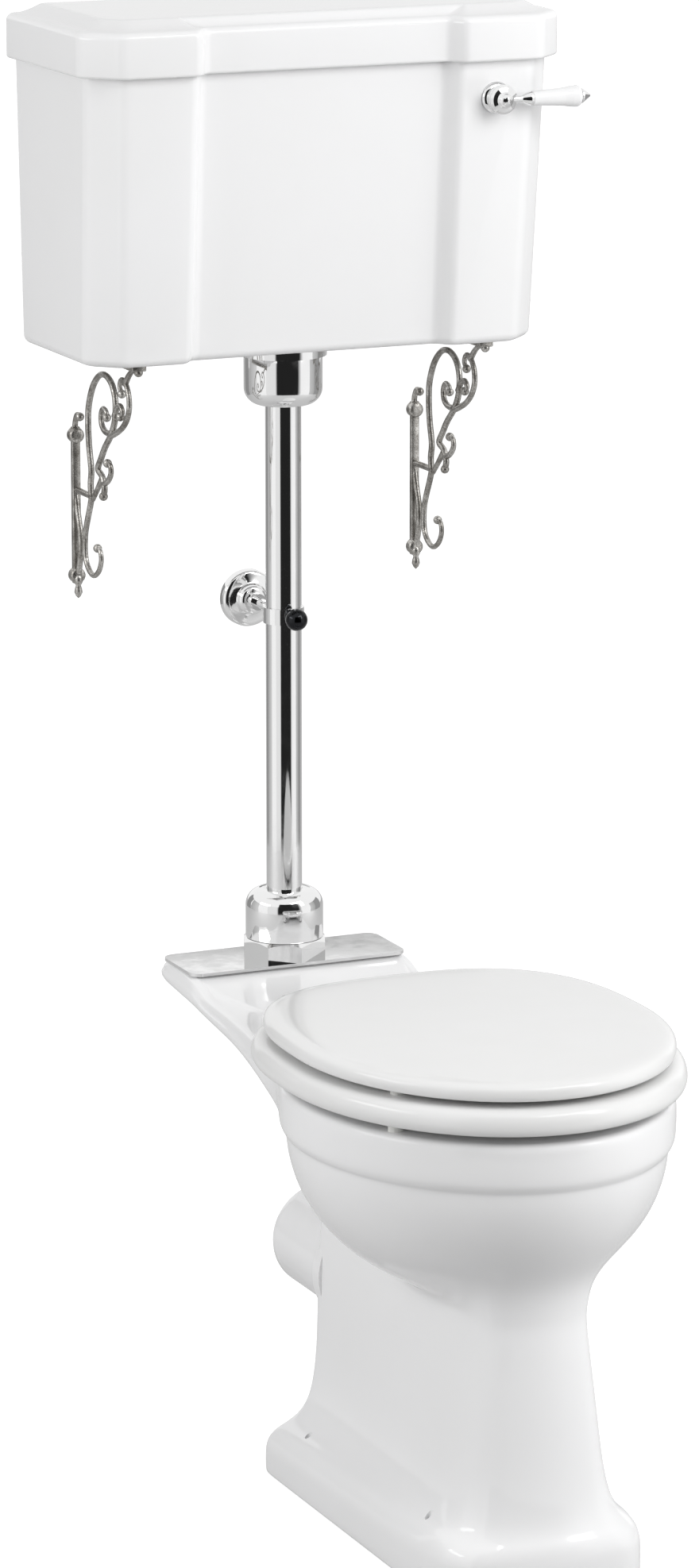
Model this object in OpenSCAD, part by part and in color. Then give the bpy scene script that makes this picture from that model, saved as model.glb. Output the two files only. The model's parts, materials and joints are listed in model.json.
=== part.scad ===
// A wash-down WC suite with a medium-level cistern on two scroll brackets.
// Millimetres. X runs along the wall, the wall is on the +Y side, Z is up.
// The origin is on the floor, at the centre of the pan's foot.
// Inside at_wall() the wall is at y = 0 and everything stands in front of it, at negative y.

/* [Pan] */
// Height of the rim above the floor
rim_h = 432; // [425:1:445]
// Width of the rim
rim_w = 348; // [336:2:360]
// Distance from the wall to the front of the rim
rim_reach = 730; // [720:1:745]
// Distance from the wall to the widest part of the rim
rim_mid = 518; // [512:1:524]
// Height of the upright band round the rim
rim_band = 46; // [40:1:50]
// Radial width of the flat rim
rim_width = 46; // [40:1:52]
// How far the rear ledge stands above the rim
ledge_rise = 14; // [10:0.5:18]
// Width of the rear ledge
ledge_w = 228; // [224:1:236]
// Gap between the wall and the ledge
ledge_gap = 47; // [44:1:50]
// Depth of the ledge from back to front
ledge_len = 88; // [84:1:92]
// Width of the pedestal at its waist
ped_w = 106; // [100:1:114]
// Height of the bowl's lowest point outside
ped_h = 246; // [240:1:252]
// Distance from the wall to the back of the pedestal
ped_gap = 290; // [280:1:300]
// Distance from the wall to the front of the pedestal
ped_reach = 674; // [668:1:680]
// Width of the foot
foot_w = 204; // [198:1:212]
// Distance from the wall to the back of the foot
foot_gap = 272; // [266:1:284]
// Length of the foot from back to front
foot_len = 432; // [420:1:438]
// Height of the foot's upright edge
foot_edge = 46; // [40:1:50]
// How much higher the foot's edge is at the front
foot_rise = 12; // [0:1:18]
// Width of one canted corner of the pedestal
ped_cant = 13; // [8:1:18]
// Outside diameter of the outlet spigot
outlet_od = 102; // [98:1:104]
// Wall of the outlet spigot
outlet_wall = 8; // [6:0.5:10]
// Height of the outlet's centre
outlet_h = 194; // [188:1:198]
// Distance from the wall to the outlet's end
outlet_gap = 177; // [165:1:190]
// Diameter of the four floor screw holes
floor_hole_d = 7; // [6:0.5:9]
// Spacing of the floor screw holes across the foot
floor_hole_x = 168; // [164:1:172]
// Distance from the wall to the rear floor screw holes
floor_hole_gap = 338; // [330:1:350]
// Spacing of the floor screw holes along the foot
floor_hole_y = 268; // [256:2:280]

/* [Flush pipe] */
// Outside diameter of the flush pipe
pipe_od = 34; // [30:0.5:34.5]
// Wall of the flush pipe
pipe_wall = 1.2; // [1:0.1:2]
// Distance from the wall to the pipe's axis
pipe_gap = 90; // [88:1:94]
// Diameter of the two cup nuts
cup_d = 74; // [68:1:76]
// Height of the cup nuts
cup_h = 47; // [44:1:52]
// Radius of the cup nuts' domed end
cup_dome = 16; // [10:1:20]
// Diameter of the threaded tails inside the cup nuts
tail_d = 46; // [44:0.5:48]
// Width of the octagonal nut across its flats
plate_nut_af = 77; // [76:1:80]
// Height of the octagonal nut
plate_nut_h = 18; // [14:1:22]
// Length of the chrome plate
plate_w = 222; // [200:2:224]
// Depth of the chrome plate
plate_d = 80; // [78:1:84]
// Thickness of the chrome plate
plate_t = 3; // [2:0.5:5]
// Height of the wall clamp
clamp_h = 780; // [600:5:900]
// Diameter of the clamp's wall flange
flange_d = 55; // [45:1:65]
// Depth of the clamp's wall flange
flange_t = 20; // [16:1:26]
// Height of the clamp's ring
clamp_ring_h = 15; // [12:1:20]
// Diameter of the clamp's ball head
ball_d = 21; // [16:1:22]

/* [Cistern] */
// Height of the cistern's underside above the floor
cist_z = 1040; // [1020:5:1100]
// Height of the cistern without its lid
cist_h = 278; // [273:1:290]
// Width of the cistern at the top
cist_w = 460; // [450:2:480]
// Width of the cistern at the bottom
cist_w_low = 450; // [440:2:450]
// Depth of the cistern at the top
cist_d = 203; // [200:1:210]
// Depth of the cistern at the bottom
cist_d_low = 181; // [176:1:190]
// Canted corner of the cistern
cist_cant = 27; // [20:1:32]
// Width of the front panel between the two end sections
panel_w = 264; // [240:2:270]
// How far the front panel is set back
panel_set = 15; // [8:1:18]
// Wall of the cistern
cist_wall = 11; // [9:0.5:12]
// Height of the lid's skirt
skirt_h = 51; // [46:1:56]
// How far the skirt hangs below the cistern's top edge
skirt_drop = 11; // [8:1:14]
// How far the lid stands out from the cistern
lid_over = 9; // [7:0.5:12]
// Rise of the lid's raised top above the skirt
lid_rise = 9; // [6:1:14]
// Width of the slope round the lid's raised top
lid_slope = 26; // [20:1:32]
// Spacing of the two wall holes in the cistern's back
wall_hole_x = 300; // [200:5:340]
// Diameter of the wall holes
wall_hole_d = 9; // [7:0.5:12]

/* [Brackets] */
// Spacing of the two brackets
bracket_x = 350; // [320:5:370]
// Diameter of the scroll bars
scroll_d = 6; // [5:0.5:7]
// Distance from the cistern's underside down to the middle of the screw holes
bracket_drop = 157; // [153:1:161]
// Spacing of the two screw holes in one bracket
bracket_hole_z = 134; // [130:1:138]
// Diameter of the bracket's screw holes
bracket_hole_d = 5; // [4:0.5:6]

/* [Lever] */
// Distance of the lever's spindle from the cistern's centre
lever_x = 167; // [164:1:170]
// Distance of the spindle below the cistern's top edge
lever_drop = 46; // [44:1:50]
// Angle through which the lever moves
lever_swing = 32; // [24:1:34]
// Distance from the spindle to the handle
lever_neck = 28; // [24:1:34]
// Length of the ceramic handle
handle_len = 51; // [44:1:60]
// Diameter of the handle at its outer end
handle_d = 20; // [16:0.5:24]
// Diameter of the rosette
rosette_d = 29; // [26:0.5:34]
// Diameter of the spindle
spindle_d = 8; // [7:0.5:9]

/* [Siphon] */
// Height of the siphon's crown above the cistern's underside
crown_z = 136; // [133:1:138]
// Distance between the down leg and the bell
leg_x = 62; // [62:1:64]
// Bore of the siphon's legs
leg_bore = 35; // [34.8:0.2:36]
// Wall of the siphon
leg_wall = 2.8; // [2:0.1:3]
// Bore of the bell
bell_bore = 76; // [70:1:76]
// Diameter of the lift rod
rod_d = 6; // [5:0.5:7]

/* [Fill valve] */
// Height of the valve's axis above the cistern's underside
valve_z = 244; // [241:1:246]
// Distance of the valve's axis from the wall
valve_gap = 62; // [58:1:63]
// Diameter of the threaded inlet tail
inlet_d = 20.9; // [20:0.1:22]
// How far the inlet tail stands out of the cistern
inlet_out = 27; // [20:1:32]
// Angle through which the float arm drops
float_swing = 22; // [16:1:24]
// Distance from the arm's pivot to the float's centre
float_reach = 284; // [270:1:290]
// Diameter of the float
float_d = 84; // [76:1:86]

/* [Seat] */
// Width of the seat ring
seat_w = 366; // [360:2:372]
// Distance from the wall to the front of the seat ring
seat_reach = 739; // [734:1:744]
// Distance from the wall to the back of the seat ring
seat_gap = 314; // [310:1:320]
// Thickness of the seat ring
ring_t = 24; // [20:1:27]
// Thickness of the lid
lid_t = 18; // [15:1:20]
// Height of the buffers under the ring
ring_gap = 9; // [7:0.5:11]
// Height of the buffers under the lid
lid_gap = 5; // [4:0.5:6]
// How far the ring stands out beyond the lid
ring_over = 10; // [6:1:12]
// Width of the seat ring's opening
seat_hole_w = 236; // [220:2:250]
// Distance of the hinge from the wall
hinge_gap = 288; // [286:1:290]
// Spacing of the two hinge posts
hinge_x = 155; // [140:1:160]
// Diameter of the hinge bar
bar_d = 10; // [8:0.5:12]

/* [Hidden] */
$fn = 48;

// Clearances: a thread or sliding fit, a running fit, and a hair's gap between seated faces
thread_gap = 0.1;
run_gap = 0.3;

// Colours
ceramic = "#f2f2f0";
chrome = "#c9ccd0";
nickel = "#a9a49a";
rubber = "#33312f";
brass = "#c8a858";
plastic = "#e6e6e2";
float_orange = "#d9824a";

// Derived places
wall_y = foot_gap + foot_len / 2;
ledge_z = rim_h + ledge_rise;
step_z = rim_h - rim_band;
pipe_r = pipe_od / 2;
tail_r = tail_d / 2;
cist_top = cist_z + cist_h;

// ---------- helpers ----------

// Moves a piece that is drawn from the wall into the part's frame
module at_wall() translate([0, wall_y, 0]) children();

// A round bar square to the wall, between two distances from it
module bar_y(x, z, near, far, r)
    translate([x, -far, z]) rotate([-90, 0, 0]) cylinder(h = far - near, r = r);

// A round bar along X, at a distance from the wall
module bar_x(gap, z, x0, x1, r)
    translate([x0, -gap, z]) rotate([0, 90, 0]) cylinder(h = x1 - x0, r = r);

function mix(a, b, k) = a + (b - a) * k;
function clamp01(k) = max(0, min(1, k));
function ease(k) = let(c = clamp01(k)) c * c * (3 - 2 * c);
function arc(cx, cy, r, a0, a1, n) =
    [for (i = [0:n]) let(a = mix(a0, a1, i / n)) [cx + r * cos(a), cy + r * sin(a)]];

// A closed skin through rings of points that run anticlockwise seen from above.
// closed joins the last ring to the first; otherwise flat ends close it.
module skin(rings, closed = false) {
    n = len(rings[0]);
    m = len(rings);
    points = [for (ring = rings) for (p = ring) p];
    sides = [for (k = [0:(closed ? m - 1 : m - 2)], i = [0:n - 1])
        let(a = k * n + i, b = k * n + (i + 1) % n,
            c = ((k + 1) % m) * n + i, d = ((k + 1) % m) * n + (i + 1) % n)
        each [[a, c, d], [a, d, b]]];
    ends = closed ? [] : [[for (i = [0:n - 1]) i], [for (i = [n - 1:-1:0]) (m - 1) * n + i]];
    polyhedron(points, concat(sides, ends));
}

function lift(outline, z) = [for (p = outline) [p[0], p[1], z]];

// ---------- pan ----------

// Each ring has 2 * half_n points; q counts from the front (0) to the back (half_n)
half_n = 26;
ring_n = 2 * half_n;
all_q = [0:half_n];
rim_a = rim_w / 2;
rim_front = rim_reach - rim_mid;
rim_back = 0.9 * rim_front;

// Directions of the points along the pedestal's side, in degrees from the front
side_angle = [34, 45, 56, 67, 78, 90, 102, 114, 125, 136, 146, 154, 159, 162.6, 164.2];
ped_bow = 9;
ped_half_w = ped_w / 2;
back_cut = 6;
ped_corner = ped_reach - ped_bow - ped_cant;
function side_share(q) = q == 5 ? 0 : q == 21 ? 1 :
    (ped_corner - rim_mid - ped_half_w / tan(side_angle[q - 6])) / (ped_corner - ped_gap - back_cut);

// A long box with canted front corners and a bowed front, as [half width, distance] at point q
function canted(q, w, near, far, cant) = let(corner = far - ped_bow - cant)
    q <= 4 ? [(w - cant) * q / 4, far - ped_bow * pow(q / 4, 2)] :
    q <= 21 ? [w, mix(corner, near + back_cut, side_share(q))] :
    q == 22 ? [w - 0.3 * back_cut, near + 0.3 * back_cut] :
    q == 23 ? [w - back_cut, near] : [(w - back_cut) * (half_n - q) / (half_n - 23), near];
function ped(q) = canted(q, ped_half_w, ped_gap, ped_reach, ped_cant);
function bearing(q) = atan2(ped(q)[0], ped(q)[1] - rim_mid);

// A point at the bearing of q, at the radius r from the middle
function spoke(q, r, mid = rim_mid) = let(t = bearing(q)) [r * sin(t), mid + r * cos(t)];

// An egg: half width a, reach bf forward and bb back from the distance mid
function egg_r(q, a, bf, bb) = let(t = bearing(q), b = cos(t) > 0 ? bf : bb)
    1 / sqrt(pow(sin(t) / a, 2) + pow(cos(t) / b, 2));
function egg(q, a, bf, bb, mid = rim_mid) = spoke(q, egg_r(q, a, bf, bb), mid);

// The deck: the rim's egg in front, then a flare back to the ledge's sides and corners
deck_q = 14;
deck_corner = 14;
ledge_front = ledge_gap + ledge_len;
face_run = 20;
// How quickly the deck narrows behind the rim
flare = 1.6;
function deck(q, grow = 0, spread = 0) =
    let(w = ledge_w / 2 + grow + spread, back = ledge_gap - grow,
        join = egg(deck_q, rim_a + grow, rim_front + grow, rim_back + grow))
    q <= deck_q ? egg(q, rim_a + grow, rim_front + grow, rim_back + grow) :
    q <= 19 ? let(k = (q - deck_q) / 5)
        [mix(w + spread * 4 * k * (1 - k), join[0], pow(1 - k, flare)),
         mix(join[1], ledge_front + face_run, k)] :
    q == 20 ? [w, ledge_front] :
    q == 21 ? [w, back + deck_corner] :
    q == 22 ? [w - 0.3 * deck_corner, back + 0.3 * deck_corner] :
    q == 23 ? [w - deck_corner, back] : [(w - deck_corner) * (half_n - q) / 3, back];

// Rounded joins between bowl, neck and pedestal
function soft_max(a, b, r) = (a + b + sqrt((a - b) * (a - b) + r * r)) / 2;

// The bowl outside at depth u below the rim band (0 to 1), joined to the flush way's neck,
// which runs back to the ledge, and to the pedestal
neck_w = 44;
neck_len = rim_mid - ledge_gap - 13;
function bowl_point(q, u) = let(
        t = bearing(q),
        bowl = sqrt(max(0, 1 - u * u)) * egg_r(q, rim_a - 6, rim_front - 6, rim_back - 6),
        side = neck_w * (1 - 0.5 * u) / max(0.01, sin(t)),
        neck = cos(t) > -0.9 ? 0 : min(side, neck_len * (1 - 0.7 * pow(u, 0.85))),
        foot = norm(ped(q) - [0, rim_mid]))
    spoke(q, soft_max(soft_max(bowl, neck, 8), foot, 10) - 2);

// A whole ring from the right half: it runs up the right side and back down the left.
// high gives each point's height from its distance to the wall.
function ring(half) = [for (i = [0:ring_n - 1]) let(q = i <= half_n ? i : ring_n - i, p = half[q])
    [(i <= half_n ? 1 : -1) * p[0], -p[1], p[2]]];
function flat(half, z) = ring([for (p = half) [p[0], p[1], z]]);

// The foot, with an edge that rises to the front, and the cove above it
function foot(q, cut) = canted(q, foot_w / 2 - cut, foot_gap + cut, foot_gap + foot_len - cut, 26);
function along(q) = (foot(q, 0)[1] - foot_gap) / foot_len;
function edge_z(q) = foot_edge + foot_rise * along(q);
foot_in = 9;
// Heights above the edge, and the share of the foot's size left there at the back and at the front
cove_high = [0, 5, 12, 20, 30, 44, 64, 92, 128, 168];
cove_back = [1, 0.86, 0.66, 0.46, 0.3, 0.2, 0.13, 0.09, 0.08, 0.07];
cove_front = [1, 0.9, 0.78, 0.66, 0.56, 0.46, 0.37, 0.28, 0.16, 0.02];
function cove(j) = ring([for (q = all_q)
    let(p = mix(ped(q), foot(q, foot_in), mix(cove_back[j], cove_front[j], along(q))))
    [p[0], p[1], edge_z(q) + cove_high[j]]]);
function edge_ring(cut, below) = ring([for (q = all_q) [each foot(q, cut), edge_z(q) - below]]);

// The deck's lower edge and its top, by the distance from the wall. The edge is thin under the
// ledge, and deepens to the rim's band between the bowl's neck and its widest part.
ledge_edge = 22;
edge_mid = pipe_gap + 90;
edge_turn = ledge_front + pipe_gap;
function deck_low(d) =
    mix(mix(ledge_z - ledge_edge, rim_h - ledge_edge + 1, ease((d - pipe_gap) / (edge_mid - pipe_gap))),
        step_z, ease((d - edge_turn) / (rim_mid - 58 - edge_turn)));
function deck_top(d) = mix(ledge_z, rim_h, ease((d - ledge_front) / face_run));
function deck_ring(grow, spread, low, up) = ring([for (q = all_q) let(p = deck(q, grow, spread))
    [p[0], p[1], (low ? deck_low(p[1]) : deck_top(p[1])) + up]]);
// Two rings that end the ledge's flat top and the foot of its front face
function deck_in(q) = let(p = deck(q, -9)) [0.98 * p[0], max(p[1], ledge_front)];
function deck_in2(q) = let(p = deck(q, -9)) [0.95 * p[0], max(p[1], ledge_front + face_run)];

// The bowl inside: height, half width, reach forward, reach back, distance of the middle
rim_in = rim_a - rim_width - 4;
front_in = rim_front - rim_width - 4;
sump_z = 112;
bowl_in = [
    [rim_h, rim_in + 5, front_in + 5, 142, rim_mid],
    [rim_h - 5, rim_in, front_in, 138, rim_mid],
    [step_z + 14, rim_in, front_in, 140, rim_mid],
    [step_z + 4, rim_in + 6, front_in + 6, 146, rim_mid],
    [step_z - 10, rim_in + 12, front_in + 12, 150, rim_mid],
    [step_z - 38, rim_in + 2, front_in + 2, 142, rim_mid],
    [step_z - 66, rim_in - 22, front_in - 18, 122, rim_mid + 2],
    [step_z - 94, rim_in - 52, front_in - 50, 94, rim_mid + 3],
    [ped_h + 26, 50, 84, 72, rim_mid + 4],
    [232, 41, 64, 56, rim_mid + 2],
    [170, 37, 48, 44, rim_mid - 4],
    [sump_z + 14, 34, 38, 36, rim_mid - 10],
    [sump_z, 24, 26, 26, rim_mid - 10]];

recess_z = 34;
foot_lip = 26;
pan_rings = concat(
    // the recess under the foot
    [flat([for (q = all_q) foot(q, foot_lip + 10)], recess_z), flat([for (q = all_q) foot(q, foot_lip)], -2)],
    // the foot's upright edge, rounded at the top, and the cove
    [flat([for (q = all_q) foot(q, 1)], -2), flat([for (q = all_q) foot(q, 0)], 5),
     edge_ring(0, 12), edge_ring(1.5, 6), edge_ring(4.5, 2)],
    [for (j = [0:len(cove_high) - 1]) cove(j)],
    // the bowl
    [for (u = [1, 0.94, 0.86, 0.77, 0.67, 0.56, 0.44, 0.31, 0.16, 0])
        flat([for (q = all_q) bowl_point(q, u)], mix(step_z, ped_h, u))],
    // the deck's edge, its band and its rounded top
    [deck_ring(-4, 3, true, 0), deck_ring(0, 3, true, 5), deck_ring(0, 0, false, -7),
     deck_ring(-2, 0, false, -2), deck_ring(-7, 0, false, 0)],
    [ring([for (q = all_q) let(p = deck_in(q)) [p[0], p[1], deck_top(p[1])]]),
     flat([for (q = all_q) deck_in2(q)], rim_h)],
    // the bowl inside
    [for (b = bowl_in) flat([for (q = all_q) egg(q, b[1], b[2], b[3], b[4])], b[0])]);

// The trap's way: points as distance from the wall and height, with the bore's radius
trap_low = [rim_mid - 74, sump_z - 14];
trap_crest = [360, 205];
module way(from, to, r)
    let(d = from[0] - to[0], h = to[1] - from[1], len = sqrt(d * d + h * h))
    translate([0, -from[0], from[1]]) rotate([-atan2(d, h), 0, 0])
        translate([0, 0, -4]) cylinder(h = len + 8, r = r);

inlet_r = tail_r + 3;
inlet_floor = step_z + 4;
flush_way_r = 11;
outlet_r = outlet_od / 2;
module pan() color(ceramic) at_wall() difference() {
    union() {
        skin(pan_rings);
        translate([0, -ped_gap - 40, outlet_h]) rotate([-90, 0, 0]) rotate_extrude() polygon([
            [0, 0], [outlet_r + 8, 0], [outlet_r + 8, 40], [outlet_r + 2, 43], [outlet_r + 2, 46],
            [outlet_r, 52], [outlet_r, ped_gap + 40 - outlet_gap - 1.5],
            [outlet_r - 1.5, ped_gap + 40 - outlet_gap], [0, ped_gap + 40 - outlet_gap]]);
    }
    // the foot stands flat
    translate([-foot_w, -foot_gap - foot_len - 50, -10]) cube([2 * foot_w, foot_len + 100, 10]);
    // the way from the sump over the crest to the outlet
    way([rim_mid - 4, sump_z + 36], trap_low, 28);
    way(trap_low, trap_crest, 29);
    way(trap_crest, [ped_gap + 10, outlet_h], 36);
    bar_y(0, outlet_h, outlet_gap - 1, ped_gap + 20, outlet_r - outlet_wall);
    // the flush inlet and its way to the rim
    translate([0, -pipe_gap, inlet_floor]) cylinder(h = 60, r = inlet_r);
    bar_y(0, inlet_floor + flush_way_r + 2, pipe_gap, rim_mid - 130, flush_way_r);
    // seat bolts and floor screws
    for (s = [-1, 1]) {
        translate([s * hinge_x / 2, -hinge_gap, step_z - 60]) cylinder(h = 120, r = stud_hole_r);
        translate([s * hinge_x / 2, -hinge_gap, nut_seat - 60]) cylinder(h = 60, r = wing_r + 2);
        for (d = [floor_hole_gap, floor_hole_gap + floor_hole_y])
            translate([s * floor_hole_x / 2, -d, -1]) cylinder(h = foot_edge + 60, r = floor_hole_d / 2);
    }
}

// ---------- flush pipe ----------

stub_foot = ledge_z - 20;
stub_top = ledge_z + plate_t + plate_nut_h + 26;
cup_wall = 5;
cup_base = ledge_z + plate_t + plate_nut_h;
back_nut_h = 10;
back_nut_r = 41;
outer_washer = 2;
cup_top_z = cist_z - outer_washer - back_nut_h;

module ledge_plate() color(chrome) at_wall() difference() {
    r = 12;
    translate([0, -pipe_gap, ledge_z]) union() {
        for (x = [-1, 1], y = [-1, 1])
            translate([x * (plate_w / 2 - r), y * (plate_d / 2 - r), 0]) cylinder(h = plate_t, r = r);
        translate([-plate_w / 2, -plate_d / 2 + r, 0]) cube([plate_w, plate_d - 2 * r, plate_t]);
        translate([-plate_w / 2 + r, -plate_d / 2, 0]) cube([plate_w - 2 * r, plate_d, plate_t]);
    }
    translate([0, -pipe_gap, ledge_z - 1]) cylinder(h = plate_t + 2, r = tail_r + thread_gap);
}

module tube(z0, z1, r_out, r_in) translate([0, -pipe_gap, z0]) difference() {
    cylinder(h = z1 - z0, r = r_out);
    translate([0, 0, -1]) cylinder(h = z1 - z0 + 2, r = r_in);
}

module inlet_seal() color(rubber) at_wall()
    tube(stub_foot, ledge_z, inlet_r - thread_gap / 2, tail_r + thread_gap / 2);
module inlet_stub() color(brass) at_wall() tube(stub_foot, stub_top, tail_r, leg_bore / 2);

module plate_nut() color(chrome) at_wall() translate([0, -pipe_gap, ledge_z + plate_t]) difference() {
    flat = plate_nut_af / 2;
    intersection() {
        cylinder(h = plate_nut_h, r = flat / cos(22.5), $fn = 8);
        rotate_extrude() polygon([[0, 0], [flat + 4, 0], [flat + 4, plate_nut_h - 4],
                                  [flat - 1, plate_nut_h], [0, plate_nut_h]]);
    }
    translate([0, 0, -1]) cylinder(h = plate_nut_h + 2, r = tail_r + thread_gap);
}

// A domed nut, open at z = 0, closed by its dome round the pipe at z = cup_h
module cup_nut() {
    r = cup_d / 2;
    bore = tail_r + thread_gap;
    hole = pipe_r + thread_gap;
    seat = cup_h - cup_wall;
    rotate_extrude() polygon(concat(
        [[bore, 0], [r - 1, 0], [r, 1]], arc(r - cup_dome, cup_h - cup_dome, cup_dome, 0, 90, 8),
        [[hole, cup_h], [hole, seat], [bore, seat - 8]]));
}

// The rubber ring inside a cup nut: it seats on the tail's end and under the nut's cone
washer_t = cup_h - cup_wall - 26;
module cone_washer() {
    out = tail_r - 0.2;
    hole = pipe_r + 0.05;
    rotate_extrude() polygon([[hole, 0], [out, 0], [out, washer_t - 8.4], [hole, washer_t - 0.4]]);
}

module lower_cup_nut() color(chrome) at_wall() translate([0, -pipe_gap, cup_base]) cup_nut();
module lower_cone_washer() color(rubber) at_wall() translate([0, -pipe_gap, stub_top]) cone_washer();
module upper_cup_nut() color(chrome) at_wall()
    translate([0, -pipe_gap, cup_top_z]) mirror([0, 0, 1]) cup_nut();
module upper_cone_washer() color(rubber) at_wall()
    translate([0, -pipe_gap, cup_top_z - 26]) mirror([0, 0, 1]) cone_washer();
module flush_pipe() color(chrome) at_wall()
    tube(stub_foot + 24, cup_top_z - 12, pipe_r, pipe_r - pipe_wall);
module siphon_back_nut() color(chrome) at_wall()
    tube(cup_top_z, cist_z - outer_washer, back_nut_r, tail_r + thread_gap);

// ---------- pipe clamp ----------

stem_r = 5;
ring_wall = 2.5;
screw_r = 2.5;
ball_gap = pipe_gap + pipe_r + ring_wall + ball_d / 2 + 0.5;
module pipe_wall_flange() color(chrome) at_wall() translate([0, 0, clamp_h]) rotate([90, 0, 0]) {
    r = flange_d / 2;
    t = flange_t;
    rotate_extrude() polygon(concat(
        [[stem_r + thread_gap / 2, 0], [r, 0], [r, 0.35 * t]],
        [[r - 1.5, 0.5 * t], [r - 6, 0.62 * t], [r - 7, 0.75 * t]],
        arc(r - 13.5, t - 3, 3, 60, 90, 2), [[stem_r + thread_gap / 2, t]]));
}

module pipe_clamp() color(chrome) at_wall() difference() {
    union() {
        translate([0, -pipe_gap, clamp_h - clamp_ring_h / 2])
            cylinder(h = clamp_ring_h, r = pipe_r + ring_wall);
        bar_y(0, clamp_h, 2, pipe_gap - pipe_r - 1, stem_r);
        bar_y(0, clamp_h, flange_t, flange_t + 10, stem_r + 3);
    }
    translate([0, -pipe_gap, clamp_h - clamp_ring_h]) cylinder(h = 2 * clamp_ring_h, r = pipe_r + 0.05);
    bar_y(0, clamp_h, pipe_gap, ball_gap, screw_r + thread_gap / 2);
}

module pipe_clamp_screw() color("#3a3b3e") at_wall() union() {
    translate([0, -ball_gap, clamp_h]) sphere(r = ball_d / 2);
    bar_y(0, clamp_h, pipe_gap + pipe_r + 0.1, ball_gap, screw_r);
}

// ---------- cistern ----------

// Replaces each corner of an outline by a short curve; corners are [x, y, radius]
round_n = 3;
function round_corners(c) = [for (i = [0:len(c) - 1])
    let(p = c[i], a = c[(i + len(c) - 1) % len(c)], b = c[(i + 1) % len(c)],
        u = [a[0] - p[0], a[1] - p[1]], v = [b[0] - p[0], b[1] - p[1]],
        s = [p[0], p[1]] + u * p[2] / norm(u), e = [p[0], p[1]] + v * p[2] / norm(v))
    for (k = [0:round_n]) let(t = k / round_n)
        s * pow(1 - t, 2) + [p[0], p[1]] * 2 * t * (1 - t) + e * t * t];

// The cistern's plan from half width, depth, back gap, cant, panel half width and its set back
function plan(w, d, back, cant, panel, set) = let(
        side = [[panel - 0.75 * set, -(d - set), 4], [panel, -d, 4], [w - cant, -d, 7],
                [w, -(d - cant), 7], [w, -back, 3]],
        n = len(side))
    round_corners(concat(side, [for (i = [n - 1:-1:0]) [-side[i][0], side[i][1], side[i][2]]]));

function cist_plan(z, in, back = 0) = let(k = (z - cist_z) / cist_h)
    plan(mix(cist_w_low, cist_w, k) / 2 - in, mix(cist_d_low, cist_d, k) - in, back,
         cist_cant - 0.4 * in, panel_w / 2 + 0.4 * in, panel_set);

function cist_depth(z) = mix(cist_d_low, cist_d, (z - cist_z) / cist_h);
function cist_half(z) = mix(cist_w_low, cist_w, (z - cist_z) / cist_h) / 2;

floor_t = 12;
lever_z = cist_top - lever_drop;
bush_r = 9;
spot_r = rosette_d / 2 + 0.3;
// Flats on the sloping front wall for the lever's rosette and nut
lever_out = cist_depth(lever_z - spot_r);
lever_in = cist_depth(lever_z + spot_r) - cist_wall;
valve_h = cist_z + valve_z;
valve_out = cist_half(valve_h - 18);
valve_in = cist_half(valve_h + 18) - cist_wall;
valve_flange_r = 16;

module cistern_body() color(ceramic) at_wall() difference() {
    skin([for (s = [[cist_z, 9, 6], [cist_z + 2, 4, 3], [cist_z + 8, 0, 0], [cist_top - 3, 0, 0],
                    [cist_top, 2, 0], [cist_top, cist_wall - 2, cist_wall - 2],
                    [cist_top - 3, cist_wall, cist_wall],
                    [cist_z + floor_t + 14, cist_wall, cist_wall],
                    [cist_z + floor_t + 4, cist_wall + 4, cist_wall + 4],
                    [cist_z + floor_t, cist_wall + 14, cist_wall + 14]])
        lift(cist_plan(s[0], s[1], s[2]), s[0])]);
    translate([0, -pipe_gap, cist_z - 1]) cylinder(h = floor_t + 2, r = tail_r + 0.6);
    // the lever's hole, with a flat for the rosette and one for the nut
    bar_y(lever_x, lever_z, lever_in - 30, lever_out + 30, bush_r + run_gap);
    bar_y(lever_x, lever_z, lever_out, lever_out + 20, spot_r);
    bar_y(lever_x, lever_z, lever_in - 20, lever_in, spot_r + 2);
    // the inlet's hole and flats
    bar_x(valve_gap, valve_h, valve_in - 20, valve_out + 20, inlet_d / 2 + run_gap);
    bar_x(valve_gap, valve_h, valve_in - 20, valve_in, valve_flange_r + 1);
    bar_x(valve_gap, valve_h, valve_out, valve_out + 20, valve_flange_r + 2);
    // two wall holes in the back
    for (s = [-1, 1]) bar_y(s * wall_hole_x / 2, cist_top - 40, -1, cist_wall + 1, wall_hole_d / 2);
}

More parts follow.
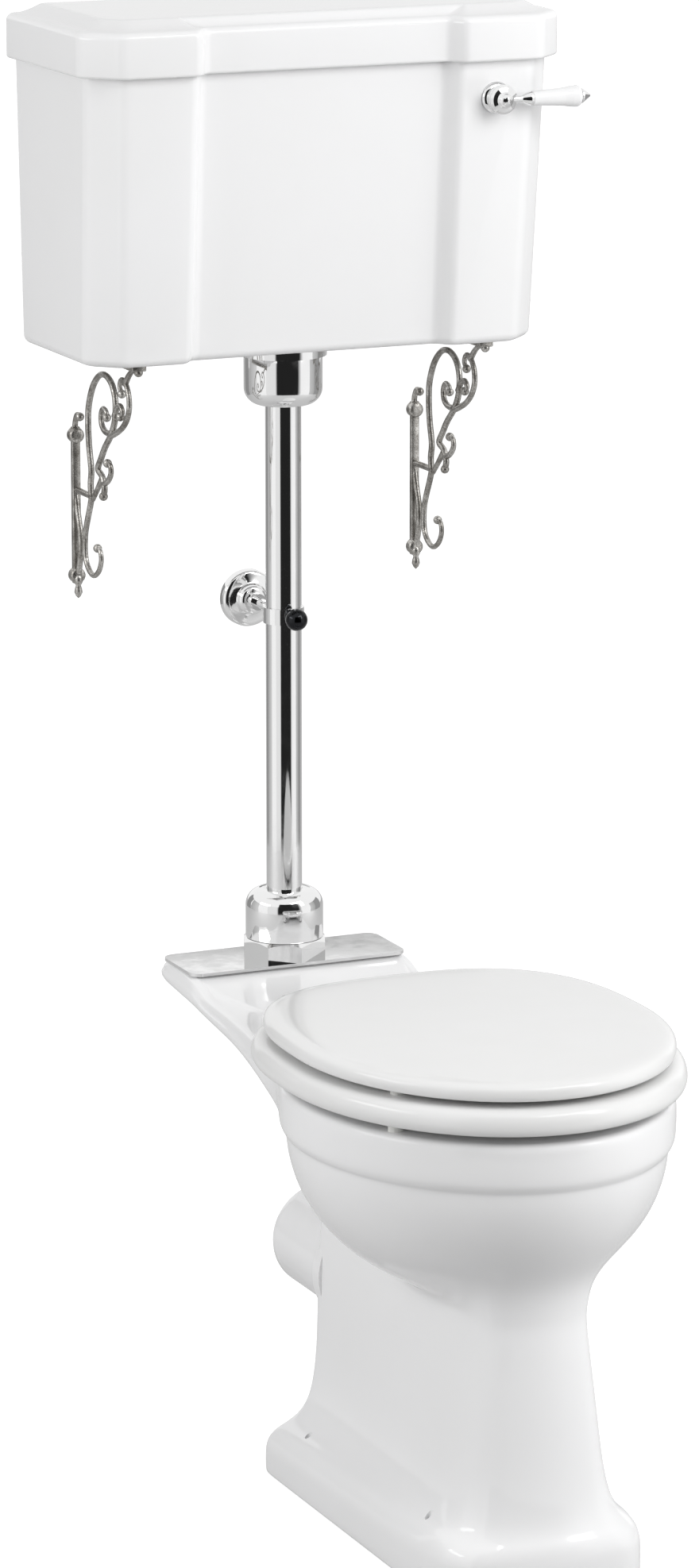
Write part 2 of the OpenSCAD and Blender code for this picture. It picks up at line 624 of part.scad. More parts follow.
// The lid's plan, like the cistern's top but larger
function lid_plan(in, set, slope = 0) =
    plan(cist_w / 2 + lid_over - in, cist_d + lid_over - in, 0.6 * in, cist_cant + 3 - 0.4 * in,
         panel_w / 2 + 0.4 * slope, set);
skirt_low = cist_top - skirt_drop;
skirt_top = skirt_low + skirt_h - lid_rise;
lid_top = skirt_top + lid_rise;
lid_wall = lid_over - 1.5;
module cistern_lid() color(ceramic) at_wall() difference() {
    lid_casting();
    // the skirt is open at the back, where the cistern stands flat against the wall
    translate([-cist_w / 2 - 1, -cist_wall - 2, skirt_low - 2])
        cube([cist_w + 2, cist_wall + 4, cist_top - skirt_low + 2]);
}
module lid_casting() skin([
    // the ceiling, the ledge that rests on the cistern and the inside of the skirt
    lift(lid_plan(cist_wall + 18, panel_set), skirt_top - 9),
    lift(lid_plan(cist_wall + 12, panel_set), cist_top),
    lift(lid_plan(lid_wall, panel_set), cist_top),
    lift(lid_plan(lid_wall - 1, panel_set), skirt_low + 1),
    lift(lid_plan(3, panel_set), skirt_low),
    // the outside
    lift(lid_plan(0.6, panel_set), skirt_low + 2.5),
    lift(lid_plan(0, panel_set), skirt_low + 6),
    lift(lid_plan(0, panel_set), skirt_top - 7),
    lift(lid_plan(2, panel_set), skirt_top - 2),
    lift(lid_plan(6, 0.9 * panel_set), skirt_top),
    // the slope and the raised top
    lift(lid_plan(lid_slope, 0.2 * panel_set, lid_slope), lid_top - 2),
    lift(lid_plan(lid_slope + 5, 0.1 * panel_set, lid_slope), lid_top)]);

// ---------- brackets ----------

// A bar swept along points in the plane x = 0 given as [distance from the wall, height],
// with its radius running from r0 to r1
tube_n = 6;
function tangent(p, i) = let(a = p[max(i - 1, 0)], b = p[min(i + 1, len(p) - 1)]) (b - a) / norm(b - a);
module sweep(path, r0, r1) {
    rings = [for (i = [0:len(path) - 1])
        let(t = tangent(path, i), p = path[i], r = mix(r0, r1, i / (len(path) - 1)))
        [for (k = [0:tube_n - 1]) let(a = 360 * (k + 0.5) / tube_n)
            [r * cos(a), -p[0] + r * sin(a) * t[1], p[1] + r * sin(a) * t[0]]]];
    skin(rings);
}

// Catmull-Rom points between the chosen ones
function smooth(p, n = 2) = [for (i = [0:len(p) - 2], k = [0:n - 1])
        let(t = k / n, a = p[max(i - 1, 0)], b = p[i], c = p[i + 1], d = p[min(i + 2, len(p) - 1)])
        0.5 * (2 * b + (c - a) * t + (2 * a - 5 * b + 4 * c - d) * t * t
               + (3 * b - a - 3 * c + d) * t * t * t), p[len(p) - 1]];

// Heights below are measured down from a level that lies scroll_rise above the cistern's underside
scroll_rise = 5;
scroll_loop = [[43, -150], [41, -136], [43, -122], [38, -100], [36, -80], [38, -62], [49, -42],
               [66, -29], [83, -27], [98, -34], [105, -48], [103, -66], [93, -81], [78, -95],
               [68, -107], [60, -118], [71, -124], [76, -134], [73, -142]];
scroll_foot = [[44, -146], [39, -158], [31, -174], [26, -188], [26, -206], [33, -217], [46, -222],
               [59, -216], [66, -205], [64, -196], [57, -194]];
scroll_side = [[3, -152], [8, -170], [14, -188], [14, -206], [8, -226]];
scroll_front = [[92, -82], [106, -77], [121, -70], [133, -60], [139, -48], [137, -35], [129, -26],
                [120, -25], [116, -32], [121, -38]];
scroll_tip = [[129, -28], [139, -18], [150, -12], [162, -12]];
scroll_inner = [[92, -80], [80, -80], [71, -75], [69, -66], [74, -59], [82, -61], [83, -66]];
scroll_curl = [[74, -130], [84, -126], [92, -118], [91, -110], [84, -109]];
scroll_small = [[102, -62], [109, -53], [117, -50], [122, -55], [117, -60]];
scroll_brace = [[70, -126], [60, -136], [46, -150]];
scroll_hook = [[3, -96], [3, -84], [8, -75], [15, -76]];

boss_out = 9;
boss_r = 7.5;
module bracket() {
    r = scroll_d / 2;
    knob_z = -bracket_drop;
    difference() {
        union() {
            translate([0, 0, scroll_rise]) {
                for (s = [scroll_loop, scroll_foot, scroll_side, scroll_front, scroll_tip,
                          scroll_inner, scroll_curl, scroll_small, scroll_brace, scroll_hook])
                    sweep(smooth(s), r, s == scroll_loop || s == scroll_side ? r : 0.75 * r);
                // the ends of the scrolls
                for (e = [[73, -142], [57, -194], [121, -38], [162, -12], [83, -66], [84, -109],
                          [117, -60], [15, -76]])
                    translate([0, -e[0], e[1]]) sphere(r = 1.35 * r, $fn = 16);
                bar_y(0, -147, 2, 44, r);
            }
            // the bar on the wall, and the shelf under the cistern with its two posts
            translate([-4, -6, knob_z - bracket_hole_z / 2 - 8]) cube([8, 6, bracket_hole_z + 16]);
            translate([-7, -165, -6]) cube([14, 165, 6]);
            translate([0, -75, -30]) cylinder(h = 26, r = 1.5 * r);
            translate([0, -160, -14]) cylinder(h = 12, r = 1.3 * r);
            for (z = [-1, 1]) bar_y(0, knob_z + z * bracket_hole_z / 2, 0, boss_out, boss_r);
            translate([0, -7, knob_z - bracket_hole_z / 2 - 15]) sphere(r = 4.5, $fn = 16);
            translate([0, -7, knob_z - bracket_hole_z / 2 - 14]) cylinder(h = 10, r = 2.6);
        }
        for (z = [-1, 1]) bar_y(0, knob_z + z * bracket_hole_z / 2, -1, boss_out + 1, bracket_hole_d / 2);
    }
}
module bracket_left() color(nickel) at_wall() translate([-bracket_x / 2, 0, cist_z]) bracket();
module bracket_right() color(nickel) at_wall() translate([bracket_x / 2, 0, cist_z]) bracket();

// ---------- siphon ----------

leg_in = leg_bore / 2;
leg_out = leg_in + leg_wall;
bell_in = bell_bore / 2;
inner_washer = 3;
siphon_flange = 4;
crown_h = cist_z + crown_z;
siphon_tail = cup_top_z - 26;
bell_low = cist_z + floor_t + 13;
piston_z = bell_low + 12;
piston_t = 4;
half_swing = lever_swing / 2;
// The arm is as long as keeps its eye centred on the rod over the swing
arm_len = (lever_x - leg_x) / ((1 + cos(half_swing)) / 2);
lift_travel = 2 * arm_len * sin(half_swing);
eye_z = lever_z - arm_len * sin(half_swing);
rod_eye_z = eye_z - 12.5;
bell_shoulder = piston_z + piston_t + lift_travel + 4;

module siphon_body() color(plastic) at_wall() {
    crown_r = leg_x / 2;
    difference() {
        union() {
            translate([0, -pipe_gap, siphon_tail]) cylinder(h = cist_z + 20 - siphon_tail, r = tail_r);
            translate([0, -pipe_gap, cist_z + floor_t + inner_washer]) cylinder(h = siphon_flange, r = 36);
            translate([0, -pipe_gap, crown_h]) mirror([0, 0, 1])
                cylinder(h = crown_h - cist_z - floor_t, r = leg_out);
            translate([crown_r, -pipe_gap, crown_h]) rotate([90, 0, 0])
                rotate_extrude(angle = 180) translate([crown_r, 0]) circle(r = leg_out);
            translate([leg_x, -pipe_gap, 0]) rotate_extrude() polygon([
                [0, bell_low], [bell_in + leg_wall, bell_low], [bell_in + leg_wall, bell_shoulder],
                [leg_out, bell_shoulder + 18], [leg_out, crown_h], [0, crown_h]]);
            translate([leg_x, -pipe_gap, crown_h + 20]) cylinder(h = 24, r = rod_d / 2 + 3);
        }
        translate([0, -pipe_gap, crown_h]) mirror([0, 0, 1])
            cylinder(h = crown_h - siphon_tail + 4, r = leg_in);
        translate([crown_r, -pipe_gap, crown_h]) rotate([90, 0, 0])
            rotate_extrude(angle = 180) translate([crown_r, 0]) circle(r = leg_in);
        translate([leg_x, -pipe_gap, 0]) rotate_extrude() polygon([
            [0, bell_low - 1], [bell_in, bell_low - 1], [bell_in, bell_shoulder],
            [leg_in, bell_shoulder + 18], [leg_in, crown_h], [0, crown_h]]);
        translate([leg_x, -pipe_gap, crown_h]) cylinder(h = 60, r = rod_d / 2 + 0.15);
    }
}

module siphon_washers() color(rubber) at_wall() {
    tube(cist_z + floor_t, cist_z + floor_t + inner_washer, 36, tail_r + 0.1);
    tube(cist_z - outer_washer, cist_z, back_nut_r - 1, tail_r + 0.1);
}

module siphon_piston() color("#5b6470") at_wall() translate([leg_x, -pipe_gap, piston_z]) difference() {
    cylinder(h = piston_t, r = bell_in - run_gap);
    translate([0, 0, -1]) cylinder(h = piston_t + 2, r = rod_d / 2 + 0.02);
    for (i = [0:5]) rotate(60 * i) translate([0.62 * bell_in, 0, -1]) cylinder(h = piston_t + 2, r = 7);
}

module siphon_flap() color(rubber) at_wall() translate([leg_x, -pipe_gap, piston_z + piston_t])
    difference() {
        cylinder(h = 0.8, r = bell_in - 1.5);
        translate([0, 0, -1]) cylinder(h = 3, r = rod_d / 2 + 0.02);
    }

module siphon_lift_rod() color(brass) at_wall() difference() {
    union() {
        translate([leg_x, -pipe_gap, piston_z - 6]) cylinder(h = rod_eye_z - piston_z + 4, r = rod_d / 2);
        translate([leg_x, -pipe_gap, piston_z - 4]) cylinder(h = 4, r = rod_d / 2 + 3);
        bar_y(leg_x, rod_eye_z, pipe_gap - 2, pipe_gap + 2, 5);
    }
    bar_y(leg_x, rod_eye_z, pipe_gap - 9, pipe_gap + 9, 1.9);
}

// A wire link: two cross pins joined by two upright sides
link_r = 1.2;
link_side = 5.5;
module lift_link() color(brass) at_wall() union() {
    for (z = [rod_eye_z - 0.6, eye_z]) bar_y(leg_x, z, pipe_gap - link_side, pipe_gap + link_side, link_r);
    for (y = [-1, 1]) translate([leg_x, -pipe_gap + y * link_side, rod_eye_z - 0.6 - link_r])
        cylinder(h = eye_z - rod_eye_z + 0.6 + 2 * link_r, r = link_r);
}

// ---------- lever ----------

hub_gap = lever_out + 14.3;
module lever_bush() color(chrome) at_wall() translate([lever_x, -lever_out, lever_z])
    rotate([90, 0, 0]) difference() {
        r = rosette_d / 2;
        rotate_extrude() polygon([[0, -32], [bush_r, -32], [bush_r, 0], [r, 0], [r, 3], [r - 1, 4.5],
                                  [r - 3, 5], [r - 3, 9], [r - 1.5, 10], [r - 1.5, 13], [r - 3, 14], [0, 14]]);
        translate([0, 0, -40]) cylinder(h = 80, r = spindle_d / 2 + thread_gap);
    }

module lever_back_nut() color(brass) at_wall() difference() {
    translate([lever_x, -lever_in, lever_z]) rotate([-90, 0, 0]) cylinder(h = 6, r = 15, $fn = 6);
    bar_y(lever_x, lever_z, lever_in - 10, lever_in + 10, bush_r + thread_gap / 2);
}

module lever_spindle() color(brass) at_wall()
    bar_y(lever_x, lever_z, pipe_gap - 6, hub_gap + 4, spindle_d / 2);

neck_r = 3.2;
module lever_hub() color(chrome) at_wall() translate([lever_x, -hub_gap, lever_z]) difference() {
    union() {
        rotate([90, 0, 0]) rotate_extrude() polygon(concat(
            [[0, 0], [12, 0], [13.5, 1.5], [13.5, 4], [11.5, 6], [8, 7.5]], arc(0, 7, 6.5, 20, 90, 5)));
        rotate([0, 90, 0]) translate([0, -4, 0]) rotate_extrude() polygon([
            [0, 0], [neck_r, 0], [neck_r, lever_neck - 10], [5.5, lever_neck - 5], [6.5, lever_neck - 2],
            [6.5, lever_neck], [0, lever_neck]]);
    }
    translate([0, 5, 0]) rotate([90, 0, 0]) cylinder(h = 9, r = spindle_d / 2 + 0.02);
}
handle_y = hub_gap + 4;

// The ceramic handle: a revolved taper, wider at the outer end
module lever_handle() color(ceramic) at_wall() translate([lever_x + lever_neck, -handle_y, lever_z])
    rotate([0, 90, 0]) rotate_extrude() polygon(concat(
        [[0, 0.05], [6, 0.05], [6.8, 1], [7, 8], [7.6, 0.35 * handle_len],
         [0.42 * handle_d, 0.62 * handle_len], [0.48 * handle_d, 0.78 * handle_len]],
        arc(handle_d / 2 - 5, handle_len - 6, 5, 0, 80, 5), [[0, handle_len - 1]]));

module lever_tip() color(chrome) at_wall()
    translate([lever_x + lever_neck + handle_len - 1, -handle_y, lever_z])
    rotate([0, 90, 0]) rotate_extrude() polygon(concat(
        [[0, 0.05], [7, 0.05], [7, 1.5], [5, 4.5], [2.6, 8]], arc(0, 8, 2.2, 20, 90, 3)));

module lever_inner_arm() color(brass) at_wall() translate([lever_x, -pipe_gap, lever_z])
    rotate([90, 0, 0]) rotate([0, 0, half_swing]) translate([0, 0, -2]) difference() {
        union() {
            translate([-arm_len, -6, 0]) cube([arm_len, 12, 4]);
            translate([-arm_len, 0, 0]) cylinder(h = 4, r = 6);
            translate([0, 0, -2]) cylinder(h = 8, r = 9);
        }
        translate([0, 0, -5]) cylinder(h = 20, r = spindle_d / 2 + 0.02);
        // the slot for the link
        translate([-arm_len - 2.2, -2.2, -1]) cube([4.4, 4.4, 6]);
        for (s = [-1, 1]) translate([-arm_len + 2.2 * s, 0, -1]) cylinder(h = 6, r = 2.2);
    }

// ---------- fill valve ----------

barrel_r = 13;
barrel_end = valve_in - 66;
pivot_x = valve_in - 48;
pivot_z = valve_h - 14;
seat_x = valve_in - 22;
piston_r = 8;
module fill_valve_body() color(brass) at_wall() difference() {
    union() {
        bar_x(valve_gap, valve_h, barrel_end, valve_in - 3, barrel_r);
        bar_x(valve_gap, valve_h, valve_in - 5, valve_in - fill_washer, valve_flange_r);
        bar_x(valve_gap, valve_h, valve_in - 5, valve_out + inlet_out, inlet_d / 2);
        // the outlet spout and the two lugs for the pivot
        translate([valve_in - 32, -valve_gap, valve_h - 30]) cylinder(h = 30, r = 6.5);
        for (s = [5, -8]) translate([pivot_x - 7, -valve_gap + s, pivot_z - 6]) cube([14, 3, 16]);
    }
    bar_x(valve_gap, valve_h, barrel_end - 1, seat_x, piston_r);
    bar_x(valve_gap, valve_h, seat_x - 1, valve_out + inlet_out + 1, 3.5);
    // a groove outside the nut, where the free end of the thread begins
    difference() {
        bar_x(valve_gap, valve_h, valve_out + 7, valve_out + 8.5, inlet_d);
        bar_x(valve_gap, valve_h, valve_out + 6, valve_out + 9.5, inlet_d / 2 - 0.8);
    }
    translate([valve_in - 32, -valve_gap, valve_h - 31]) cylinder(h = 31, r = 4);
    translate([pivot_x - 11, -valve_gap - 5, pivot_z - 10]) cube([17, 10, 24]);
    // room for the arm to pass below the barrel
    translate([barrel_end - 1, -valve_gap - 4, pivot_z - 10]) cube([pivot_x - barrel_end + 1, 8, 15]);
    bar_y(pivot_x, pivot_z, valve_gap - 10, valve_gap + 10, 2.02);
}

fill_washer = 2.5;
module fill_valve_washer() color(rubber) at_wall() difference() {
    bar_x(valve_gap, valve_h, valve_in - fill_washer, valve_in, valve_flange_r);
    bar_x(valve_gap, valve_h, valve_in - 10, valve_in + 10, inlet_d / 2 + thread_gap);
}

module fill_valve_nut() color(brass) at_wall() difference() {
    translate([valve_out, -valve_gap, valve_h]) rotate([0, 90, 0]) cylinder(h = 6, r = 17, $fn = 6);
    bar_x(valve_gap, valve_h, valve_out - 10, valve_out + 20, inlet_d / 2 + thread_gap);
}

module fill_valve_piston() color(plastic) at_wall() difference() {
    bar_x(valve_gap, valve_h, pivot_x - 10, seat_x - 0.1, piston_r - 0.1);
    translate([pivot_x - 4.5, -valve_gap - 9, valve_h - 9]) cube([12, 18, 14]);
}

finger_h = 16;
module float_arm() color(brass) at_wall() difference() {
    tilt = 1.6;
    union() {
        bar_y(pivot_x, pivot_z, valve_gap - 4.6, valve_gap + 4.6, 5.5);
        translate([pivot_x - 2.5, -valve_gap - 3, pivot_z]) cube([5, 6, finger_h]);
        translate([pivot_x, -valve_gap, pivot_z]) rotate([0, -90 - tilt, 0])
            cylinder(h = float_reach - float_d / 2 + 4, r = 3);
    }
    bar_y(pivot_x, pivot_z, valve_gap - 10, valve_gap + 10, 2.1);
}

module float_ball() color(float_orange) at_wall() translate([pivot_x, -valve_gap, pivot_z])
    rotate([0, -91.6, 0]) difference() {
        translate([0, 0, float_reach]) sphere(r = float_d / 2);
        translate([0, 0, float_reach - float_d]) cylinder(h = float_d / 2 + 4.1, r = 3.02);
    }

module float_pivot_pin() color(brass) at_wall()
    bar_y(pivot_x, pivot_z, valve_gap - 9.5, valve_gap + 9.5, 2);

// ---------- seat ----------

seat_a = seat_w / 2;
ring_low = rim_h + ring_gap;
ring_top = ring_low + ring_t;
lid_low = ring_top + lid_gap;
seat_front = seat_reach - rim_mid;
seat_back = rim_mid - seat_gap;
seat_n = 24;
// A rounder egg for the seat: flat_b squares its back
function oval(i, a, bf, bb, mid, flat_b) = let(t = 180 * i / seat_n, s = sin(t), c = cos(t))
    c >= 0 ? [a * s, mid + bf * c] : [a * pow(s, 2 / flat_b), mid - bb * pow(-c, 2 / flat_b)];
function oval_ring(a, bf, bb, mid, flat_b, z) = [for (i = [0:2 * seat_n - 1])
    let(right = i <= seat_n, p = oval(right ? i : 2 * seat_n - i, a, bf, bb, mid, flat_b))
    [(right ? 1 : -1) * p[0], -p[1], z]];
function seat_egg(grow, z) =
    oval_ring(seat_a + grow, seat_front + grow, seat_back + grow, rim_mid, 2.35, z);
hole_a = seat_hole_w / 2;
hole_front = seat_front - 60;
hole_back = seat_back - 66;
function hole_egg(grow, z) =
    oval_ring(hole_a + grow, hole_front + grow, hole_back + grow, rim_mid, 2.1, z);

module seat_ring() color(ceramic) at_wall() skin([
    seat_egg(-7, ring_low), seat_egg(-2, ring_low + 2), seat_egg(0, ring_low + 0.36 * ring_t),
    seat_egg(-1, ring_low + 0.64 * ring_t), seat_egg(-4, ring_top - 3), seat_egg(-9, ring_top - 0.5),
    seat_egg(-15, ring_top),
    hole_egg(18, ring_top), hole_egg(7, ring_top - 2.5), hole_egg(1, ring_top - 9),
    hole_egg(0, ring_low + 7), hole_egg(3, ring_low + 1.5), hole_egg(8, ring_low)], closed = true);

module seat_lid() color(ceramic) at_wall() let(in = -ring_over) skin([
    seat_egg(in - 6, lid_low), seat_egg(in - 1.5, lid_low + 1.5), seat_egg(in, lid_low + 0.36 * lid_t),
    seat_egg(in - 1, lid_low + 0.62 * lid_t), seat_egg(in - 5, lid_low + 0.84 * lid_t),
    seat_egg(in - 13, lid_low + 0.96 * lid_t), seat_egg(in - 32, lid_low + lid_t)]);

// The hinge: posts on the deck carry a bar, and the arms of ring and lid turn on it
hinge_z = 0.5 * (ring_low + lid_low);
knuckle_r = 9.5;
arm_w = 14;
ring_arm_x = 58;
lid_arm_x = 40;
stud_r = 4;
stud_hole_r = 6;
post_r = 8;
hinge_deck = 30;
nut_seat = rim_h - hinge_deck;
stud_tail = 22;
hinge_washer_t = 2;
hinge_washer_r = 15;
post_foot_t = 4;
post_foot_r = 14;
wing_r = 13;
wing_h = 12;
wing_hub = 9;
module hinge_posts() color(chrome) at_wall() for (s = [-1, 1]) {
    x = s * hinge_x / 2;
    difference() {
        union() {
            translate([x, -hinge_gap, rim_h + hinge_washer_t]) cylinder(h = post_foot_t, r = post_foot_r);
            translate([x, -hinge_gap, rim_h + hinge_washer_t])
                cylinder(h = hinge_z - rim_h - hinge_washer_t, r = post_r);
            bar_x(hinge_gap, hinge_z, x - post_r, x + post_r, knuckle_r);
            translate([x, -hinge_gap, nut_seat - stud_tail])
                cylinder(h = hinge_deck + stud_tail + post_foot_t, r = stud_r);
        }
        bar_x(hinge_gap, hinge_z, x - 2 * post_r, x + 2 * post_r, bar_d / 2 + 0.02);
    }
}

module hinge_washers() color(rubber) at_wall() for (s = [-1, 1])
    translate([s * hinge_x / 2, -hinge_gap, rim_h]) difference() {
        cylinder(h = hinge_washer_t, r = hinge_washer_r);
        translate([0, 0, -1]) cylinder(h = hinge_washer_t + 2, r = stud_r + thread_gap);
    }

module wing_nuts() color(plastic) at_wall() for (s = [-1, 1])
    translate([s * hinge_x / 2, -hinge_gap, nut_seat - wing_h]) difference() {
        union() {
            cylinder(h = wing_h, r = wing_hub);
            translate([-wing_r, -wing_hub / 3, 0]) cube([2 * wing_r, wing_hub / 1.5, 0.75 * wing_h]);
        }
        translate([0, 0, -1]) cylinder(h = wing_h + 2, r = stud_r + 0.05);
    }

module hinge_bar() color(chrome) at_wall()
    bar_x(hinge_gap, hinge_z, -hinge_x / 2 - post_r - 3, hinge_x / 2 + post_r + 3, bar_d / 2);

// One arm, from its outline as distance and height measured from the hinge's axis
module hinge_arm(x, outline) translate([x - arm_w / 2, -hinge_gap, hinge_z]) difference() {
    rotate([90, 0, 90]) linear_extrude(arm_w) union() {
        circle(r = knuckle_r);
        polygon([for (p = outline) [-p[0], p[1]]]);
    }
    rotate([0, 90, 0]) translate([0, 0, -1]) cylinder(h = arm_w + 2, r = arm_bore);
}

strap = 62;
arm_bore = bar_d / 2 + thread_gap;
module ring_hinge_arms() color(chrome) at_wall() for (s = [-1, 1])
    let(low = ring_low - hinge_z)
    hinge_arm(s * ring_arm_x, [[0, -knuckle_r], [6, low - 3], [strap, low - 3], [strap, low],
                               [14, low], [9, -3]]);

module lid_hinge_arms() color(chrome) at_wall() for (s = [-1, 1])
    let(high = lid_low - hinge_z)
    hinge_arm(s * lid_arm_x, [[0, knuckle_r], [6, high], [strap, high], [strap, high - 2.4],
                              [13, high - 2.4], [9, 3]]);

// Four buffers, two near the front and two near the back
module buffers(low, h, in) for (i = [7.3, 17], s = [-1, 1])
    let(p = oval(i, seat_a - in, seat_front - in, seat_back - in, rim_mid, 2.35))
    translate([s * p[0], -p[1], low]) cylinder(h = h, r = 7);
module ring_buffers() color(plastic) at_wall() buffers(rim_h, ring_gap, 26);
module lid_buffers() color(plastic) at_wall() buffers(ring_top, lid_gap, 30);

pan();
ledge_plate();
inlet_seal();
inlet_stub();
plate_nut();
lower_cup_nut();
lower_cone_washer();
flush_pipe();
upper_cup_nut();
upper_cone_washer();
siphon_back_nut();
pipe_wall_flange();
pipe_clamp();
pipe_clamp_screw();
cistern_body();
cistern_lid();
bracket_left();
bracket_right();
siphon_body();
siphon_washers();
siphon_piston();
siphon_flap();
siphon_lift_rod();
lift_link();
lever_bush();
lever_back_nut();
lever_spindle();
lever_hub();
lever_handle();
lever_tip();
lever_inner_arm();
fill_valve_body();
fill_valve_nut();
fill_valve_washer();
fill_valve_piston();
float_arm();
float_ball();
float_pivot_pin();
seat_ring();
seat_lid();
hinge_posts();
hinge_bar();
ring_hinge_arms();
lid_hinge_arms();
hinge_washers();
wing_nuts();
ring_buffers();
lid_buffers();
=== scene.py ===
# %% [markdown]
# # A wash-down WC suite with its cistern at medium height
#
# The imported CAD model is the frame. It holds every nut, washer and pin at its real size, but its
# big ceramic pieces are coarse. Here each of them gets a smooth, glazed skin, the seat its soft
# edges, the scroll brackets their cast detail, the polished fittings their turned profiles, and
# every finish its material. The suite then stands in soft studio light, seen from the
# photograph's viewpoint.

# %% Load the frame
import json
import math

import bpy
from mathutils import Matrix, Vector


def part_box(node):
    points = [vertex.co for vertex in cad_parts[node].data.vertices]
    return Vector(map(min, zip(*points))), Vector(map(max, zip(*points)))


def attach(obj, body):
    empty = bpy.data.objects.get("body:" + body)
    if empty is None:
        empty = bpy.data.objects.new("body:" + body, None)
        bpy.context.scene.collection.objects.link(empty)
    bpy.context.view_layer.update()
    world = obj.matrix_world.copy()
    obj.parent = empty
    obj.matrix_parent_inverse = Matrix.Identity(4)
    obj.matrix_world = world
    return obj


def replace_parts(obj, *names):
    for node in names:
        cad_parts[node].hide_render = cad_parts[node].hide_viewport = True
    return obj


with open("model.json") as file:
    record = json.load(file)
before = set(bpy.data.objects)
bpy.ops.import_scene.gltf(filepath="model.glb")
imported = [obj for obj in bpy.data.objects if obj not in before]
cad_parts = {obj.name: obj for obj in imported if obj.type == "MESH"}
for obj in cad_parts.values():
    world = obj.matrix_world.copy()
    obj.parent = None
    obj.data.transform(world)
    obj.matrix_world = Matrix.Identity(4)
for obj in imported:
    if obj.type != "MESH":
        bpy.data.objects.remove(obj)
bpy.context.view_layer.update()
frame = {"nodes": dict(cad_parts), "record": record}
bpy.ops.object.select_all(action="DESELECT")
nodes = frame["nodes"]
print("CAD nodes:", len(nodes))

# %% [markdown]
# ## Where things are
#
# The part's drawing gives every place as three numbers in millimetres: x along the wall, d out
# from the wall and z up from the floor. Keeping those three numbers here makes the scene read
# like the drawing. One function turns them into Blender's metres, and the wall itself is found
# from the flange that stands against it.

# %% A point from x, d and z in millimetres
MM = 0.001
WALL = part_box("pipe_wall_flange")[1].y / MM


def at(x, d, z):
    return Vector((x, WALL - d, z)) * MM


def mix(a, b, k):
    return a + (b - a) * k


def ease(k):
    """A smooth step from 0 to 1."""
    k = max(0.0, min(1.0, k))
    return k * k * (3 - 2 * k)


print("wall at y =", round(WALL, 2), "mm")

# %% [markdown]
# ## The camera
#
# The photograph was taken from far away with a long lens, a little above and to the left of the
# suite. The distance is what keeps upright edges nearly parallel, so both the distance and the
# lens follow the photograph: a nearer camera with a shorter lens would fill the same frame but
# would open the cistern's sides too much. The camera aims straight at the frame's centre, so it
# needs no shift.

# %% Set the camera
AZIMUTH, ELEVATION, DISTANCE = math.radians(-23.82), math.radians(13.01), 5.886
AIM, CENTRE_RIGHT, CENTRE_DOWN = at(2.8, 200, 651.6), 0.0149, 0.0130
# the lens's length and the frame's height, both in the photograph's pixels
FOCAL_PX, FRAME_HIGH = 7942.0, 1975
SENSOR, CLIP_END = 36.0, 50
back = Vector((math.sin(AZIMUTH) * math.cos(ELEVATION), -math.cos(AZIMUTH) * math.cos(ELEVATION),
               math.sin(ELEVATION)))
right = Vector((math.cos(AZIMUTH), math.sin(AZIMUTH), 0))
up = back.cross(right)
# the frame's centre lies a little right of and below the point that the distance is measured to
centre = AIM + right * CENTRE_RIGHT - up * CENTRE_DOWN
camera_data = bpy.data.cameras.new("camera")
camera = bpy.data.objects.new("camera", camera_data)
bpy.context.scene.collection.objects.link(camera)
camera.location = AIM + back * DISTANCE
camera.rotation_euler = (centre - camera.location).to_track_quat("-Z", "Y").to_euler()
camera_data.sensor_width = SENSOR
camera_data.lens = FOCAL_PX / FRAME_HIGH * SENSOR
camera_data.clip_end = CLIP_END
bpy.context.scene.camera = camera
print("lens", round(camera_data.lens, 1), "mm")

# %% [markdown]
# ## Helpers for shaping
#
# A casting such as a WC pan has hardly a flat face or a straight edge. The way to such a form is
# a skin drawn through rings of points: a grid is added, each of its rows becomes one ring, the
# seam is merged and the ends are filled. Catmull-Clark subdivision then rounds it as slip and
# glaze do. Turned pieces are the same thing with round rings.

# %% Modifiers and skins


def activate(piece):
    bpy.ops.object.select_all(action="DESELECT")
    piece.select_set(True)
    bpy.context.view_layer.objects.active = piece


def modify(piece, kind, **settings):
    """Adds one modifier and applies it."""
    activate(piece)
    modifier = piece.modifiers.new(kind.title(), kind)
    for key, value in settings.items():
        setattr(modifier, key, value)
    bpy.ops.object.modifier_apply(modifier=modifier.name)
    return piece


def tidy(piece, gap=1e-6):
    """Merges doubles, fills open ends and turns all faces outwards."""
    activate(piece)
    bpy.ops.object.mode_set(mode="EDIT")
    bpy.ops.mesh.select_all(action="SELECT")
    bpy.ops.mesh.remove_doubles(threshold=gap)
    bpy.ops.mesh.fill_holes(sides=0)
    bpy.ops.mesh.select_all(action="SELECT")
    bpy.ops.mesh.normals_make_consistent(inside=False)
    bpy.ops.object.mode_set(mode="OBJECT")
    return piece


def skin(name, rings):
    """A closed skin through rings that all have the same number of points."""
    columns, rows = len(rings[0]), len(rings) - 1
    bpy.ops.object.select_all(action="DESELECT")
    bpy.ops.mesh.primitive_grid_add(x_subdivisions=columns, y_subdivisions=rows, size=1)
    piece = bpy.context.object
    piece.name = piece.data.name = name
    for v in piece.data.vertices:
        column = round((v.co.x + 0.5) * columns) % columns
        v.co = rings[round((v.co.y + 0.5) * rows)][column]
    return tidy(piece)


def soften(piece, levels=2):
    return modify(piece, "SUBSURF", levels=levels, render_levels=levels)


def smooth(piece, degrees):
    activate(piece)
    bpy.ops.object.shade_smooth_by_angle(angle=math.radians(degrees))
    return piece


